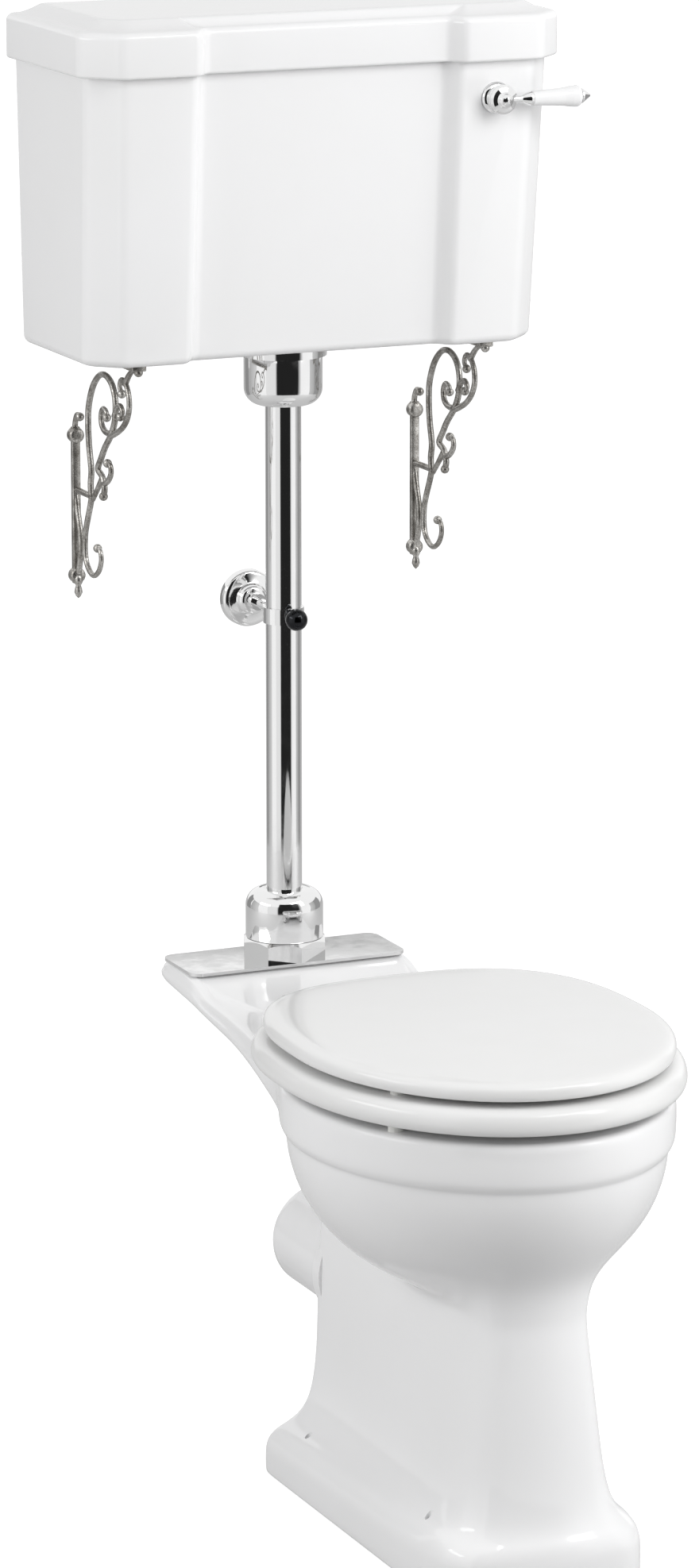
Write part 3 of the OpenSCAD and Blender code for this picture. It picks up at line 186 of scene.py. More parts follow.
def turned(name, profile, foot, axis="Z", sides=64):
    """A turned piece: profile holds (radius, height) in millimetres, upwards or out of the wall."""
    turn = {"Z": Matrix.Identity(3), "Y": Matrix.Rotation(math.radians(90), 3, "X")}[axis]
    rings = []
    for r, h in profile:
        circle = [(r * math.cos(a), r * math.sin(a), h)
                  for a in (2 * math.pi * i / sides for i in range(sides))]
        rings.append([foot + turn @ Vector(p) * MM for p in circle])
    return skin(name, rings)


# %% Plain solids that join and cut


def combine(piece, tool, how):
    """Joins or cuts with another solid, which is then deleted."""
    modify(piece, "BOOLEAN", object=tool, operation=how, solver="MANIFOLD")
    bpy.data.objects.remove(tool)
    return piece


def rod(start, end, r, sides=48):
    """A plain round solid between two points, for cutting or joining."""
    along = end - start
    bpy.ops.object.select_all(action="DESELECT")
    bpy.ops.mesh.primitive_cylinder_add(vertices=sides, radius=r * MM, depth=along.length,
                                        location=(start + end) / 2,
                                        rotation=along.to_track_quat("Z", "Y").to_euler())
    bpy.ops.object.transform_apply(location=True, rotation=True, scale=True)
    return bpy.context.object


def drill(piece, start, end, r, sides=48):
    return combine(piece, rod(start, end, r, sides), "DIFFERENCE")


def block(x0, x1, d0, d1, z0, z1, edge=0):
    """A block between two corners, with rounded edges when edge is given."""
    bpy.ops.object.select_all(action="DESELECT")
    middle = at((x0 + x1) / 2, (d0 + d1) / 2, (z0 + z1) / 2)
    bpy.ops.mesh.primitive_cube_add(size=1, location=middle)
    piece = bpy.context.object
    piece.scale = ((x1 - x0) * MM, (d1 - d0) * MM, (z1 - z0) * MM)
    bpy.ops.object.transform_apply(location=True, rotation=True, scale=True)
    return modify(piece, "BEVEL", width=edge * MM, segments=3) if edge else piece


# %% [markdown]
# ## The pan's plan
#
# Seen from above, the pan is three outlines on one middle: the egg of the rim, the long canted
# box of the pedestal, and the wider box of the foot. Points with the same number lie in the
# same direction from the middle, which keeps the skin's lines running cleanly from foot to rim.

# %% The pan's driving sizes
RIM_H, RIM_HALF, RIM_MID, RIM_FRONT = 432, 174, 518, 212
RIM_BACK, RIM_BAND, RIM_WIDTH = 0.9 * RIM_FRONT, 46, 46
STEP_Z = RIM_H - RIM_BAND
LEDGE_RISE, LEDGE_HALF, LEDGE_GAP, LEDGE_LEN = 14, 114, 47, 88
LEDGE_Z, LEDGE_FRONT, FACE_RUN = RIM_H + LEDGE_RISE, LEDGE_GAP + LEDGE_LEN, 20
PED_HALF, PED_H, PED_GAP, PED_REACH, PED_CANT, PED_BOW = 53, 246, 290, 674, 13, 9
FOOT_HALF, FOOT_GAP, FOOT_LEN, FOOT_EDGE, FOOT_RISE, FOOT_CANT = 102, 272, 432, 46, 12, 26
BACK_CUT, DECK_CORNER = 6, 14
print("rim", 2 * RIM_HALF, "mm wide at", RIM_H, "mm")

# %% Points round half a ring, and the straight outlines through them
# point 4 ends the front, 21 the side and 26 is the middle of the back
FRONT_END, SIDE_END, HALF = 4, 21, 26
# the bearing of each point between the side's ends, in degrees from straight ahead
SIDE_ANGLE = [34, 45, 56, 67, 78, 90, 102, 114, 125, 136, 146, 154, 159, 162.6, 164.2]


def side_share(q):
    """How far back along a side a point lies, from 0 in front to 1 behind."""
    if q in (FRONT_END + 1, SIDE_END):
        return int(q == SIDE_END)
    corner = PED_REACH - PED_BOW - PED_CANT
    turn = math.tan(math.radians(SIDE_ANGLE[q - FRONT_END - 2]))
    return (corner - RIM_MID - PED_HALF / turn) / (corner - PED_GAP - BACK_CUT)


def canted(q, w, near, far, cant):
    """A long box with canted front corners and a bowed front, as (half width, distance)."""
    if q <= FRONT_END:
        return (w - cant) * q / FRONT_END, far - PED_BOW * (q / FRONT_END) ** 2
    if q <= SIDE_END:
        return w, mix(far - PED_BOW - cant, near + BACK_CUT, side_share(q))
    if q == SIDE_END + 1:
        return w - BACK_CUT / 3, near + BACK_CUT / 3
    return (w - BACK_CUT) * (HALF - q) / 3, near


def pedestal(q):
    return canted(q, PED_HALF, PED_GAP, PED_REACH, PED_CANT)


def foot(q, cut):
    return canted(q, FOOT_HALF - cut, FOOT_GAP + cut, FOOT_GAP + FOOT_LEN - cut, FOOT_CANT)


def bearing(q):
    x, d = pedestal(q)
    return math.atan2(x, d - RIM_MID)


# %% The round outlines: the rim's egg and the deck behind it
EGG_END, FLARE_END = 14, 19


def spoke(q, r, mid=RIM_MID):
    return r * math.sin(bearing(q)), mid + r * math.cos(bearing(q))


def egg_r(q, half, front, rear):
    t = bearing(q)
    reach = front if math.cos(t) > 0 else rear
    return 1 / math.sqrt((math.sin(t) / half) ** 2 + (math.cos(t) / reach) ** 2)


def rim_r(q, grow):
    return egg_r(q, RIM_HALF + grow, RIM_FRONT + grow, RIM_BACK + grow)


def deck(q, grow=0, spread=0):
    """The rim's egg in front, then a flare back to the ledge's sides and corners."""
    w, rear, corner = LEDGE_HALF + grow + spread, LEDGE_GAP - grow, DECK_CORNER
    x, d = spoke(min(q, EGG_END), rim_r(min(q, EGG_END), grow))
    if q <= EGG_END:
        return x, d
    if q <= FLARE_END:
        k = (q - EGG_END) / (FLARE_END - EGG_END)
        return (mix(w + spread * 4 * k * (1 - k), x, (1 - k) ** 1.6),
                mix(d, LEDGE_FRONT + FACE_RUN, k))
    corner_points = {20: (w, LEDGE_FRONT), 21: (w, rear + corner),
                     22: (w - 0.3 * corner, rear + 0.3 * corner)}
    return corner_points.get(q, ((w - corner) * (HALF - q) / 3, rear))


def ring(half):
    """A whole ring from its right half: up the right side and back down the left."""
    points = []
    for i in range(2 * HALF):
        x, d, z = half[i if i <= HALF else 2 * HALF - i]
        points.append(at(x if i <= HALF else -x, d, z))
    return points


def level(outline, z):
    return ring([(*outline(q), z) for q in range(HALF + 1)])


print("half a ring has", HALF + 1, "points")

# %% [markdown]
# ## The pan's skin, from the foot up
#
# The rings climb the foot's upright edge, sweep in through the hollow cove to the pedestal, out
# again round the bowl, over the rim and down inside to the sump. Close pairs of rings are what
# keep an edge crisp once the surface is subdivided: the foot and the band under the rim need
# them, and the cove does not.

# %% The foot and the cove over it
# each cove ring's height over the foot's edge, and how far out it stands from the pedestal (0)
# to the foot's edge (1), first at the back and then in front
COVE_HIGH = [0, 3.5, 8.5, 16, 27, 42, 64, 92, 128, 168]
COVE_BACK = [1, 0.86, 0.66, 0.46, 0.30, 0.20, 0.13, 0.09, 0.08, 0.07]
COVE_FRONT = [1, 0.90, 0.78, 0.66, 0.56, 0.46, 0.37, 0.28, 0.16, 0.02]
COVE_IN = 9


def forward(q):
    """How far forward a point of the foot lies, from 0 at the back to 1 in front."""
    return (foot(q, 0)[1] - FOOT_GAP) / FOOT_LEN


def edge_z(q):
    return FOOT_EDGE + FOOT_RISE * forward(q)


def edge_ring(cut, below):
    return ring([(*foot(q, cut), edge_z(q) - below) for q in range(HALF + 1)])


def cove_ring(high, share_back, share_front):
    half = []
    for q in range(HALF + 1):
        share = mix(share_back, share_front, forward(q))
        (px, pd), (fx, fd) = pedestal(q), foot(q, COVE_IN)
        half.append((mix(px, fx, share), mix(pd, fd, share), edge_z(q) + high))
    return ring(half)


rings = [level(lambda q: foot(q, cut), z)
         for cut, z in ((36, 34), (27, 2), (25, 0), (3, 0), (0.5, 1), (0, 6))]
rings += [edge_ring(cut, below) for cut, below in ((0, 24), (0.7, 16.5), (2.6, 10), (5.4, 4.6))]
rings += [cove_ring(*row) for row in zip(COVE_HIGH, COVE_BACK, COVE_FRONT)]
print("foot and cove:", len(rings), "rings")

# %% The bowl's outside and the flush way's neck behind it
BAND_STEP, NECK_HALF, NECK_LEN, NECK_TURN = 6, 44, RIM_MID - LEDGE_GAP - 13, -0.9
NECK_BLEND, WAIST_BLEND, WAIST_TRIM = 8, 26, 2.5


def soft_max(a, b, r):
    """The larger of two radii, with a round of about r where they meet."""
    return (a + b + math.sqrt((a - b) ** 2 + r * r)) / 2


def bowl_outside(q, u):
    """The bowl at depth u below the band, joined to the flush way's neck and the pedestal."""
    t = bearing(q)
    bowl = math.sqrt(max(0, 1 - u * u)) * rim_r(q, -BAND_STEP)
    neck = 0
    if math.cos(t) <= NECK_TURN:
        side = NECK_HALF * (1 - 0.5 * u) / max(0.01, math.sin(t))
        neck = min(side, NECK_LEN * (1 - 0.7 * u ** 0.85))
    x, d = pedestal(q)
    waist = math.hypot(x, d - RIM_MID)
    return spoke(q, soft_max(soft_max(bowl, neck, NECK_BLEND), waist, WAIST_BLEND) - WAIST_TRIM)


rings += [level(lambda q: bowl_outside(q, u), mix(STEP_Z, PED_H, u))
          for u in (1, 0.94, 0.86, 0.77, 0.67, 0.56, 0.44, 0.31, 0.16, 0.05, 0)]

# %% The band under the rim, the deck and the step up to the ledge
LEDGE_EDGE, DECK_EDGE, THICKEN_FROM, THICKEN_RUN = 22, 21, 90, 90
BAND_FROM, BAND_RUN, BAND_SPREAD, TOP_IN = 225, 235, 3, 9


def deck_low(d):
    """The underside of the deck's edge: thin at the ledge, as deep as the band at the rim."""
    thin = mix(LEDGE_Z - LEDGE_EDGE, RIM_H - DECK_EDGE, ease((d - THICKEN_FROM) / THICKEN_RUN))
    return mix(thin, STEP_Z, ease((d - BAND_FROM) / BAND_RUN))


def deck_top(d):
    return mix(LEDGE_Z, RIM_H, ease((d - LEDGE_FRONT) / FACE_RUN))


def deck_ring(grow, spread, height, rise):
    points = [deck(q, grow, spread) for q in range(HALF + 1)]
    return ring([(x, d, height(d) + rise) for x, d in points])


def step(q, narrow, front):
    """The step's line across the deck, in front of which all is rim."""
    x, d = deck(q, -TOP_IN)
    return narrow * x, max(d, front)


def step_top(q):
    return step(q, 0.98, LEDGE_FRONT)


rings += [deck_ring(grow, BAND_SPREAD, deck_low, rise)
          for grow, rise in ((-4.2, 2), (-1.6, 6.5), (-0.2, 12))]
rings += [deck_ring(grow, 0, deck_top, rise)
          for grow, rise in ((0, -8), (-1, -4), (-3, -1), (-7, 0))]
rings += [ring([(*step_top(q), deck_top(step_top(q)[1])) for q in range(HALF + 1)]),
          level(lambda q: step(q, 0.95, LEDGE_FRONT + FACE_RUN), RIM_H)]

# %% The rim's inside, the bowl's inside and the sump
RIM_IN, FRONT_IN, SUMP_Z = RIM_HALF - RIM_WIDTH - 4, RIM_FRONT - RIM_WIDTH - 4, 112
# height, half width, reach in front, reach behind and the middle's place before the rim's
INSIDE = [(RIM_H, RIM_IN + 5, FRONT_IN + 5, 142, 0), (RIM_H - 5, RIM_IN, FRONT_IN, 138, 0),
          (STEP_Z + 14, RIM_IN, FRONT_IN, 140, 0), (STEP_Z + 4, RIM_IN + 6, FRONT_IN + 6, 146, 0),
          (STEP_Z - 10, RIM_IN + 12, FRONT_IN + 12, 150, 0),
          (STEP_Z - 38, RIM_IN + 2, FRONT_IN + 2, 142, 0),
          (STEP_Z - 66, RIM_IN - 22, FRONT_IN - 18, 122, 2),
          (STEP_Z - 94, RIM_IN - 52, FRONT_IN - 50, 94, 3), (PED_H + 26, 50, 84, 72, 4),
          (232, 41, 64, 56, 2), (170, 37, 48, 44, -4), (SUMP_Z + 14, 34, 38, 36, -10),
          (SUMP_Z, 24, 26, 26, -10)]
rings += [level(lambda q: spoke(q, egg_r(q, half, front, rear), RIM_MID + shift), z)
          for z, half, front, rear, shift in INSIDE]
pan = soften(skin("pan_glaze", rings))
print("pan:", len(rings), "rings and", len(pan.data.polygons), "faces")

# %% [markdown]
# ## What is cut into the pan
#
# The outlet spigot joins the back of the pedestal. The trap's way, the flush inlet, the bolt
# holes for the seat and the four screw holes in the foot are cut while the clay is soft, so on
# the real pan they are plain holes with slightly rounded lips.

# %% The outlet spigot
OUTLET_R, OUTLET_WALL, OUTLET_H, OUTLET_GAP = 51, 8, 194, 177
# the spigot's length runs to 102 mm, and then a root swells into the pedestal
spigot = turned("spigot", [(OUTLET_R + grow, h) for grow, h in [(-1.5, 0), (-0.4, 0.5), (0, 1.5)]
                           + [(0, h) for h in range(9, 102, 8)]
                           + [(0.7, 104), (2, 107), (3.5, 109.5), (6.5, 112), (8, 113), (8, 128)]],
                at(0, OUTLET_GAP, OUTLET_H), "Y")
combine(pan, spigot, "UNION")

# %% Cut the trap's way, the flush inlet and the holes
TRAP_LOW, TRAP_CREST = (RIM_MID - 74, SUMP_Z - 14), (360, 205)
PIPE_GAP, TAIL_R = 90, 23
HINGE_GAP, HINGE_HALF, HINGE_BOLT_R, WING_NUT_R, NUT_SEAT = 288, 77.5, 6, 15, RIM_H - 30
FOOT_SCREW_X, FOOT_SCREW_GAPS, FOOT_SCREW_R = 84, (338, 606), 3.5
WAY_OVERLAP = 4


def way(start, end, r):
    a, b = at(0, *start), at(0, *end)
    reach = (b - a).normalized() * WAY_OVERLAP * MM
    drill(pan, a - reach, b + reach, r)


way((RIM_MID - 4, SUMP_Z + 36), TRAP_LOW, 28)
way(TRAP_LOW, TRAP_CREST, 29)
way(TRAP_CREST, (PED_GAP + 10, OUTLET_H), 36)
drill(pan, at(0, OUTLET_GAP - 1, OUTLET_H), at(0, PED_GAP + 20, OUTLET_H), OUTLET_R - OUTLET_WALL)
drill(pan, at(0, PIPE_GAP, STEP_Z + 4), at(0, PIPE_GAP, STEP_Z + 64), TAIL_R + 3)
for side in (-1, 1):
    x = side * HINGE_HALF
    drill(pan, at(x, HINGE_GAP, STEP_Z - 60), at(x, HINGE_GAP, STEP_Z + 60), HINGE_BOLT_R)
    drill(pan, at(x, HINGE_GAP, NUT_SEAT - 60), at(x, HINGE_GAP, NUT_SEAT), WING_NUT_R)
    for d in FOOT_SCREW_GAPS:
        x = side * FOOT_SCREW_X
        drill(pan, at(x, d, -1), at(x, d, FOOT_EDGE + 60), FOOT_SCREW_R, 24)
tidy(pan, 1e-5)
smooth(pan, 40)
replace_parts(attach(pan, "suite"), "pan")
print("pan:", len(pan.data.polygons), "faces after the holes")

# %% [markdown]
# ## The cistern
#
# The tank is slip-cast in one piece. Its front steps back to a flat middle panel, its corners are
# canted, and all its walls lean out a little so that it leaves the mould. A skin through a few
# horizontal plans gives all of that. Each corner of a plan is a short curve, so the upright edges
# come out softly rounded, as the glaze leaves them.

# %% Plans with rounded corners


def round_corners(corners, steps=6):
    """Replaces each corner (x, d, radius) by a short curve that ends before its neighbours'."""
    points = []
    for i, (x, d, r) in enumerate(corners):
        p = Vector((x, d))
        before, after = Vector(corners[i - 1][:2]), Vector(corners[(i + 1) % len(corners)][:2])
        r = min(r, 0.45 * (before - p).length, 0.45 * (after - p).length)
        start, end = p + (before - p).normalized() * r, p + (after - p).normalized() * r
        for k in (s / steps for s in range(steps + 1)):
            points.append(start * (1 - k) ** 2 + p * 2 * k * (1 - k) + end * k * k)
    return points


def plan(w, depth, near, cant, panel, set_back):
    """The plan from half width, depth, back gap, cant, panel's half width and its set back."""
    side = [(panel - 0.75 * set_back, depth - set_back, 5), (panel, depth, 5),
            (w - cant, depth, 8), (w, depth - cant, 8), (w, near, 3)]
    return round_corners(side + [(-x, d, r) for x, d, r in reversed(side)])


# %% The tank's driving sizes and its plan at any height
TANK_Z, TANK_H, TANK_WALL, TANK_FLOOR = 1040, 278, 11, 12
TANK_TOP = TANK_Z + TANK_H
TANK_HALF_LOW, TANK_HALF, TANK_DEEP_LOW, TANK_DEEP = 225, 230, 181, 203
TANK_CANT, PANEL_HALF, PANEL_SET = 27, 132, 15


def tank_half(z):
    return mix(TANK_HALF_LOW, TANK_HALF, (z - TANK_Z) / TANK_H)


def tank_deep(z):
    return mix(TANK_DEEP_LOW, TANK_DEEP, (z - TANK_Z) / TANK_H)


def tank_ring(z, inset, near=0):
    outline = plan(tank_half(z) - inset, tank_deep(z) - inset, near, TANK_CANT - 0.4 * inset,
                   PANEL_HALF + 0.4 * inset, PANEL_SET)
    return [at(p.x, p.y, z) for p in outline]


def quarter(r, steps, start=0.0):
    """(inset, rise) along a quarter round, from flat to upright."""
    turns = [math.radians(mix(start, 90, i / steps)) for i in range(steps + 1)]
    return [(r * (1 - math.sin(a)), r * (1 - math.cos(a))) for a in turns]


print("tank", 2 * TANK_HALF, "mm wide and", TANK_H, "mm high")

# %% The tank's skin
rings = [tank_ring(TANK_Z, 26, 10)]
rings += [tank_ring(TANK_Z + rise, inset, 0.7 * inset) for inset, rise in quarter(8, 6)]
rings += [tank_ring(TANK_TOP - rise, inset) for inset, rise in reversed(quarter(3, 3))]
rings += [tank_ring(TANK_TOP, TANK_WALL - 2, TANK_WALL - 2),
          tank_ring(TANK_TOP - 2, TANK_WALL, TANK_WALL)]
rings += [tank_ring(TANK_Z + TANK_FLOOR + rise, TANK_WALL + inset, TANK_WALL + inset)
          for inset, rise in reversed(quarter(15, 6))]
rings.append(tank_ring(TANK_Z + TANK_FLOOR, TANK_WALL + 30, TANK_WALL + 30))
tank = skin("tank_glaze", rings)

# %% The holes for siphon, lever, fill valve and wall screws, with a flat spot round the lever's and the valve's
LEVER_X, LEVER_Z, LEVER_HOLE_R, ROSETTE_R = 167, TANK_TOP - 46, 9.3, 14.8
VALVE_GAP, VALVE_Z, VALVE_HOLE_R, VALVE_NUT_R, VALVE_SEAT_R = 62, TANK_Z + 244, 10.75, 18, 17
WALL_SCREW_X, WALL_SCREW_DROP, WALL_SCREW_R = 150, 40, 4.5


def drill_front(start, end, r):
    drill(tank, at(LEVER_X, start, LEVER_Z), at(LEVER_X, end, LEVER_Z), r)


def drill_side(start, end, r):
    drill(tank, at(start, VALVE_GAP, VALVE_Z), at(end, VALVE_GAP, VALVE_Z), r)


drill(tank, at(0, PIPE_GAP, TANK_Z - 1), at(0, PIPE_GAP, TANK_Z + TANK_FLOOR + 1), TAIL_R + 0.6)
flat_out, flat_in = tank_deep(LEVER_Z - ROSETTE_R), tank_deep(LEVER_Z + ROSETTE_R) - TANK_WALL
drill_front(flat_in - 30, flat_out + 30, LEVER_HOLE_R)
drill_front(flat_out, flat_out + 20, ROSETTE_R)
drill_front(flat_in - 20, flat_in, ROSETTE_R + 2)
side_out = tank_half(VALVE_Z - VALVE_NUT_R)
side_in = tank_half(VALVE_Z + VALVE_NUT_R) - TANK_WALL
drill_side(side_in - 20, side_out + 20, VALVE_HOLE_R)
drill_side(side_in - 20, side_in, VALVE_SEAT_R)
drill_side(side_out, side_out + 20, VALVE_NUT_R)
for x in (-WALL_SCREW_X, WALL_SCREW_X):
    z = TANK_TOP - WALL_SCREW_DROP
    drill(tank, at(x, -1, z), at(x, TANK_WALL + 1, z), WALL_SCREW_R)
tidy(tank, 1e-5)
smooth(tank, 40)
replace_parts(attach(tank, "suite"), "cistern_body")
print("tank:", len(tank.data.polygons), "faces")

# %% [markdown]
# ## The cistern's lid
#
# The lid has a deep skirt that hangs over the tank, and a hollow slope that rises to a flat
# raised top. The skirt follows the tank's stepped front, but the step fades out as the slope
# rises, so the raised top is nearly a plain canted rectangle.

# %% The lid's sizes and its plan
LID_OVER, SKIRT_DROP, SKIRT_H, LID_RISE, LID_SLOPE = 9, 11, 51, 9, 26
SKIRT_LOW = TANK_TOP - SKIRT_DROP
LID_TOP = SKIRT_LOW + SKIRT_H
SKIRT_TOP = LID_TOP - LID_RISE
# what is left of the step in the front on the raised top
STEP_LEFT, TOP_EASE = 0.2, 1.4


def lid_ring(z, inset, step_share=1.0, slope=0.0):
    outline = plan(TANK_HALF + LID_OVER - inset, TANK_DEEP + LID_OVER - inset, 0.6 * inset,
                   TANK_CANT + 3 - 0.4 * inset, PANEL_HALF + 0.4 * slope, step_share * PANEL_SET)
    return [at(p.x, p.y, z) for p in outline]


# %% The lid: inside, skirt, slope and raised top
rings = [lid_ring(SKIRT_TOP - 9, TANK_WALL + 40), lid_ring(SKIRT_TOP - 9, TANK_WALL + 18),
         lid_ring(TANK_TOP, TANK_WALL + 12), lid_ring(TANK_TOP, LID_OVER - 1.5),
         lid_ring(SKIRT_LOW + 1, LID_OVER - 2.5), lid_ring(SKIRT_LOW, 3)]
rings += [lid_ring(SKIRT_LOW + rise, inset) for inset, rise in quarter(3, 4, 15)]
rings += [lid_ring(SKIRT_TOP - rise, inset) for inset, rise in reversed(quarter(7, 6, 10))]
rings += [lid_ring(SKIRT_TOP + (LID_RISE - TOP_EASE) * k ** 1.5, mix(8, LID_SLOPE, k),
                   mix(0.9, STEP_LEFT, k), LID_SLOPE * k) for k in (0.12, 0.3, 0.5, 0.7, 0.86, 1)]
rings += [lid_ring(LID_TOP - drop, LID_SLOPE + run, STEP_LEFT, LID_SLOPE)
          for run, drop in ((1.2, 0.75), (2.6, 0.3), (4.2, 0.06), (6, 0), (30, 0))]
tank_lid = skin("tank_lid_glaze", rings)
open_back = block(-TANK_HALF - 1, TANK_HALF + 1, -3, TANK_WALL + 2, SKIRT_LOW - 2, TANK_TOP)
combine(tank_lid, open_back, "DIFFERENCE")
smooth(tidy(tank_lid, 1e-5), 40)
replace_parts(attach(tank_lid, "tank_lid"), "cistern_lid")
print("lid:", len(tank_lid.data.polygons), "faces")

# %% [markdown]
# ## Seat ring and seat lid
#
# Both follow the same egg, rounder in front and squarer at the hinge. The ring is dished towards
# its opening and the lid is a thick disc with a well rounded edge. The lid stands a little
# inside the ring, which leaves the narrow step that catches the light all the way round.

# %% The seat's sizes and outlines
SEAT_HALF, SEAT_FRONT, SEAT_REAR, SEAT_N = 183, 221, 204, 24
SEAT_SQUARE, HOLE_SQUARE = 2.8, 2.1
HOLE_HALF, HOLE_FRONT, HOLE_REAR = 118, SEAT_FRONT - 60, SEAT_REAR - 66
RING_LOW, RING_T, LID_GAP, LID_T, RING_OVER = RIM_H + 9, 24, 5, 18, 10
RING_TOP = RING_LOW + RING_T
SEAT_LID_LOW = RING_TOP + LID_GAP


def oval(half, front, rear, square, z):
    """An egg about the rim's middle, squarer at the back by the power square."""
    points = []
    for i in range(2 * SEAT_N):
        t = math.pi * i / SEAT_N
        s, c = math.sin(t), math.cos(t)
        if c >= 0:
            x, d = half * s, front * c
        else:
            x = math.copysign(half * abs(s) ** (2 / square), s)
            d = -rear * (-c) ** (2 / square)
        points.append(at(x, RIM_MID + d, z))
    return points


def outer(grow, z):
    return oval(SEAT_HALF + grow, SEAT_FRONT + grow, SEAT_REAR + grow, SEAT_SQUARE, z)


def opening(grow, z):
    return oval(HOLE_HALF + grow, HOLE_FRONT + grow, HOLE_REAR + grow, HOLE_SQUARE, z)


# %% Ring and lid
rings = [outer(-18, RING_LOW), outer(-7, RING_LOW), outer(-2, RING_LOW + 1.6),
         outer(0, RING_LOW + 7), outer(0, RING_LOW + 11), outer(-1, RING_LOW + 16),
         outer(-4, RING_TOP - 3), outer(-9, RING_TOP - 0.5), outer(-15, RING_TOP)]
rings += [opening(18, RING_TOP), opening(7, RING_TOP - 2.5), opening(1, RING_TOP - 9),
          opening(0, RING_LOW + 7), opening(3, RING_LOW + 1.5), opening(8, RING_LOW), rings[0]]
seat_ring = smooth(soften(skin("seat_ring_enamel", rings)), 60)
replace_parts(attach(seat_ring, "ring"), "seat_ring")

rings = [outer(-RING_OVER - run, SEAT_LID_LOW + rise) for run, rise in (
    (90, 0), (30, 0), (6, 0), (1.6, 1.2), (0, 5), (0, 8), (0.8, 11.5), (4, LID_T - 3),
    (11, LID_T - 0.8), (26, LID_T), (80, LID_T), (140, LID_T))]
seat_lid = smooth(soften(skin("seat_lid_enamel", rings)), 60)
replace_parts(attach(seat_lid, "lid"), "seat_lid")
print("seat:", len(seat_ring.data.polygons) + len(seat_lid.data.polygons), "faces")

# %% [markdown]
# ## The scroll brackets
#
# Each bracket is one lace of cast bars: a long bar on the wall, scrolls that curl off it, small
# balls where a scroll ends and a shelf under the cistern. A bar that bends in one plane is a
# curve with a round bevel, and most of them thin towards their end, as a wax pattern is drawn out
# by hand. The curves are made solid and joined with the balls and the straight bars.

# %% The strokes, as distance from the wall and height from the cistern's floor
SCROLL_R, SCROLL_RISE = 3.0, 5
# each stroke's thickness at its end, as a share, and the points that it runs through
STROKES = {
    "loop": (1.0, [(43, -150), (41, -136), (43, -122), (38, -100), (36, -80), (38, -62),
                   (49, -42), (66, -29), (83, -27), (98, -34), (105, -48), (103, -66), (93, -81),
                   (78, -95), (68, -107), (60, -118), (71, -124), (76, -134), (73, -142)]),
    "foot": (0.75, [(44, -146), (39, -158), (31, -174), (26, -188), (26, -206), (33, -217),
                    (46, -222), (59, -216), (66, -205), (64, -196), (57, -194)]),
    "side": (1.0, [(3, -152), (8, -170), (14, -188), (14, -206), (8, -226)]),
    "front": (0.75, [(92, -82), (106, -77), (121, -70), (133, -60), (139, -48), (137, -35),
                     (129, -26), (120, -25), (116, -32), (121, -38)]),
    "tip": (0.75, [(129, -28), (139, -18), (150, -12), (162, -12)]),
    "inner": (0.75, [(92, -80), (80, -80), (71, -75), (69, -66), (74, -59), (82, -61), (83, -66)]),
    "curl": (0.75, [(74, -130), (84, -126), (92, -118), (91, -110), (84, -109)]),
    "small": (0.75, [(102, -62), (109, -53), (117, -50), (122, -55), (117, -60)]),
    "brace": (0.75, [(70, -126), (60, -136), (46, -150)]),
    "hook": (0.75, [(3, -96), (3, -84), (8, -75), (15, -76)])}
PLAIN_ENDED, BALL_SHARE = ("side", "brace"), 1.4


def eased(points, steps=8):
    """Catmull-Rom points between the chosen ones."""
    out = []
    for i in range(len(points) - 1):
        a, b, c, d = (Vector(points[max(0, min(len(points) - 1, i + j))]) for j in (-1, 0, 1, 2))
        for t in (s / steps for s in range(steps)):
            out.append(0.5 * (2 * b + (c - a) * t + (2 * a - 5 * b + 4 * c - d) * t * t
                              + (3 * b - a - 3 * c + d) * t ** 3))
    return out + [Vector(points[-1])]


def stroke(name, thin, points):
    """A round bar through the points, drawn thinner towards its end."""
    path = eased(points)
    curve = bpy.data.curves.new(name, "CURVE")
    curve.dimensions = "3D"
    curve.bevel_depth = SCROLL_R * MM
    curve.bevel_resolution = 3
    curve.use_fill_caps = True
    spline = curve.splines.new("POLY")
    spline.points.add(len(path) - 1)
    for i, (d, h) in enumerate(path):
        spline.points[i].co = (*at(0, d, TANK_Z + SCROLL_RISE + h), 1)
        spline.points[i].radius = mix(1, thin, i / (len(path) - 1))
    piece = bpy.data.objects.new(name, curve)
    bpy.context.scene.collection.objects.link(piece)
    activate(piece)
    bpy.ops.object.convert(target="MESH")
    return bpy.context.object


def ball_end(d, h, rings=12):
    """A ball, turned like the other round pieces, so its faces come in one order in every run."""
    r = BALL_SHARE * SCROLL_R
    profile = [(r * math.sin(a), -r * math.cos(a))
               for a in (math.pi * i / rings for i in range(rings + 1))]
    return turned("ball", profile, at(0, d, TANK_Z + SCROLL_RISE + h), sides=20)


def join(pieces, name):
    bpy.ops.object.select_all(action="DESELECT")
    for piece in pieces:
        piece.select_set(True)
    bpy.context.view_layer.objects.active = pieces[0]
    bpy.ops.object.join()
    piece = bpy.context.object
    piece.name = piece.data.name = name
    return piece


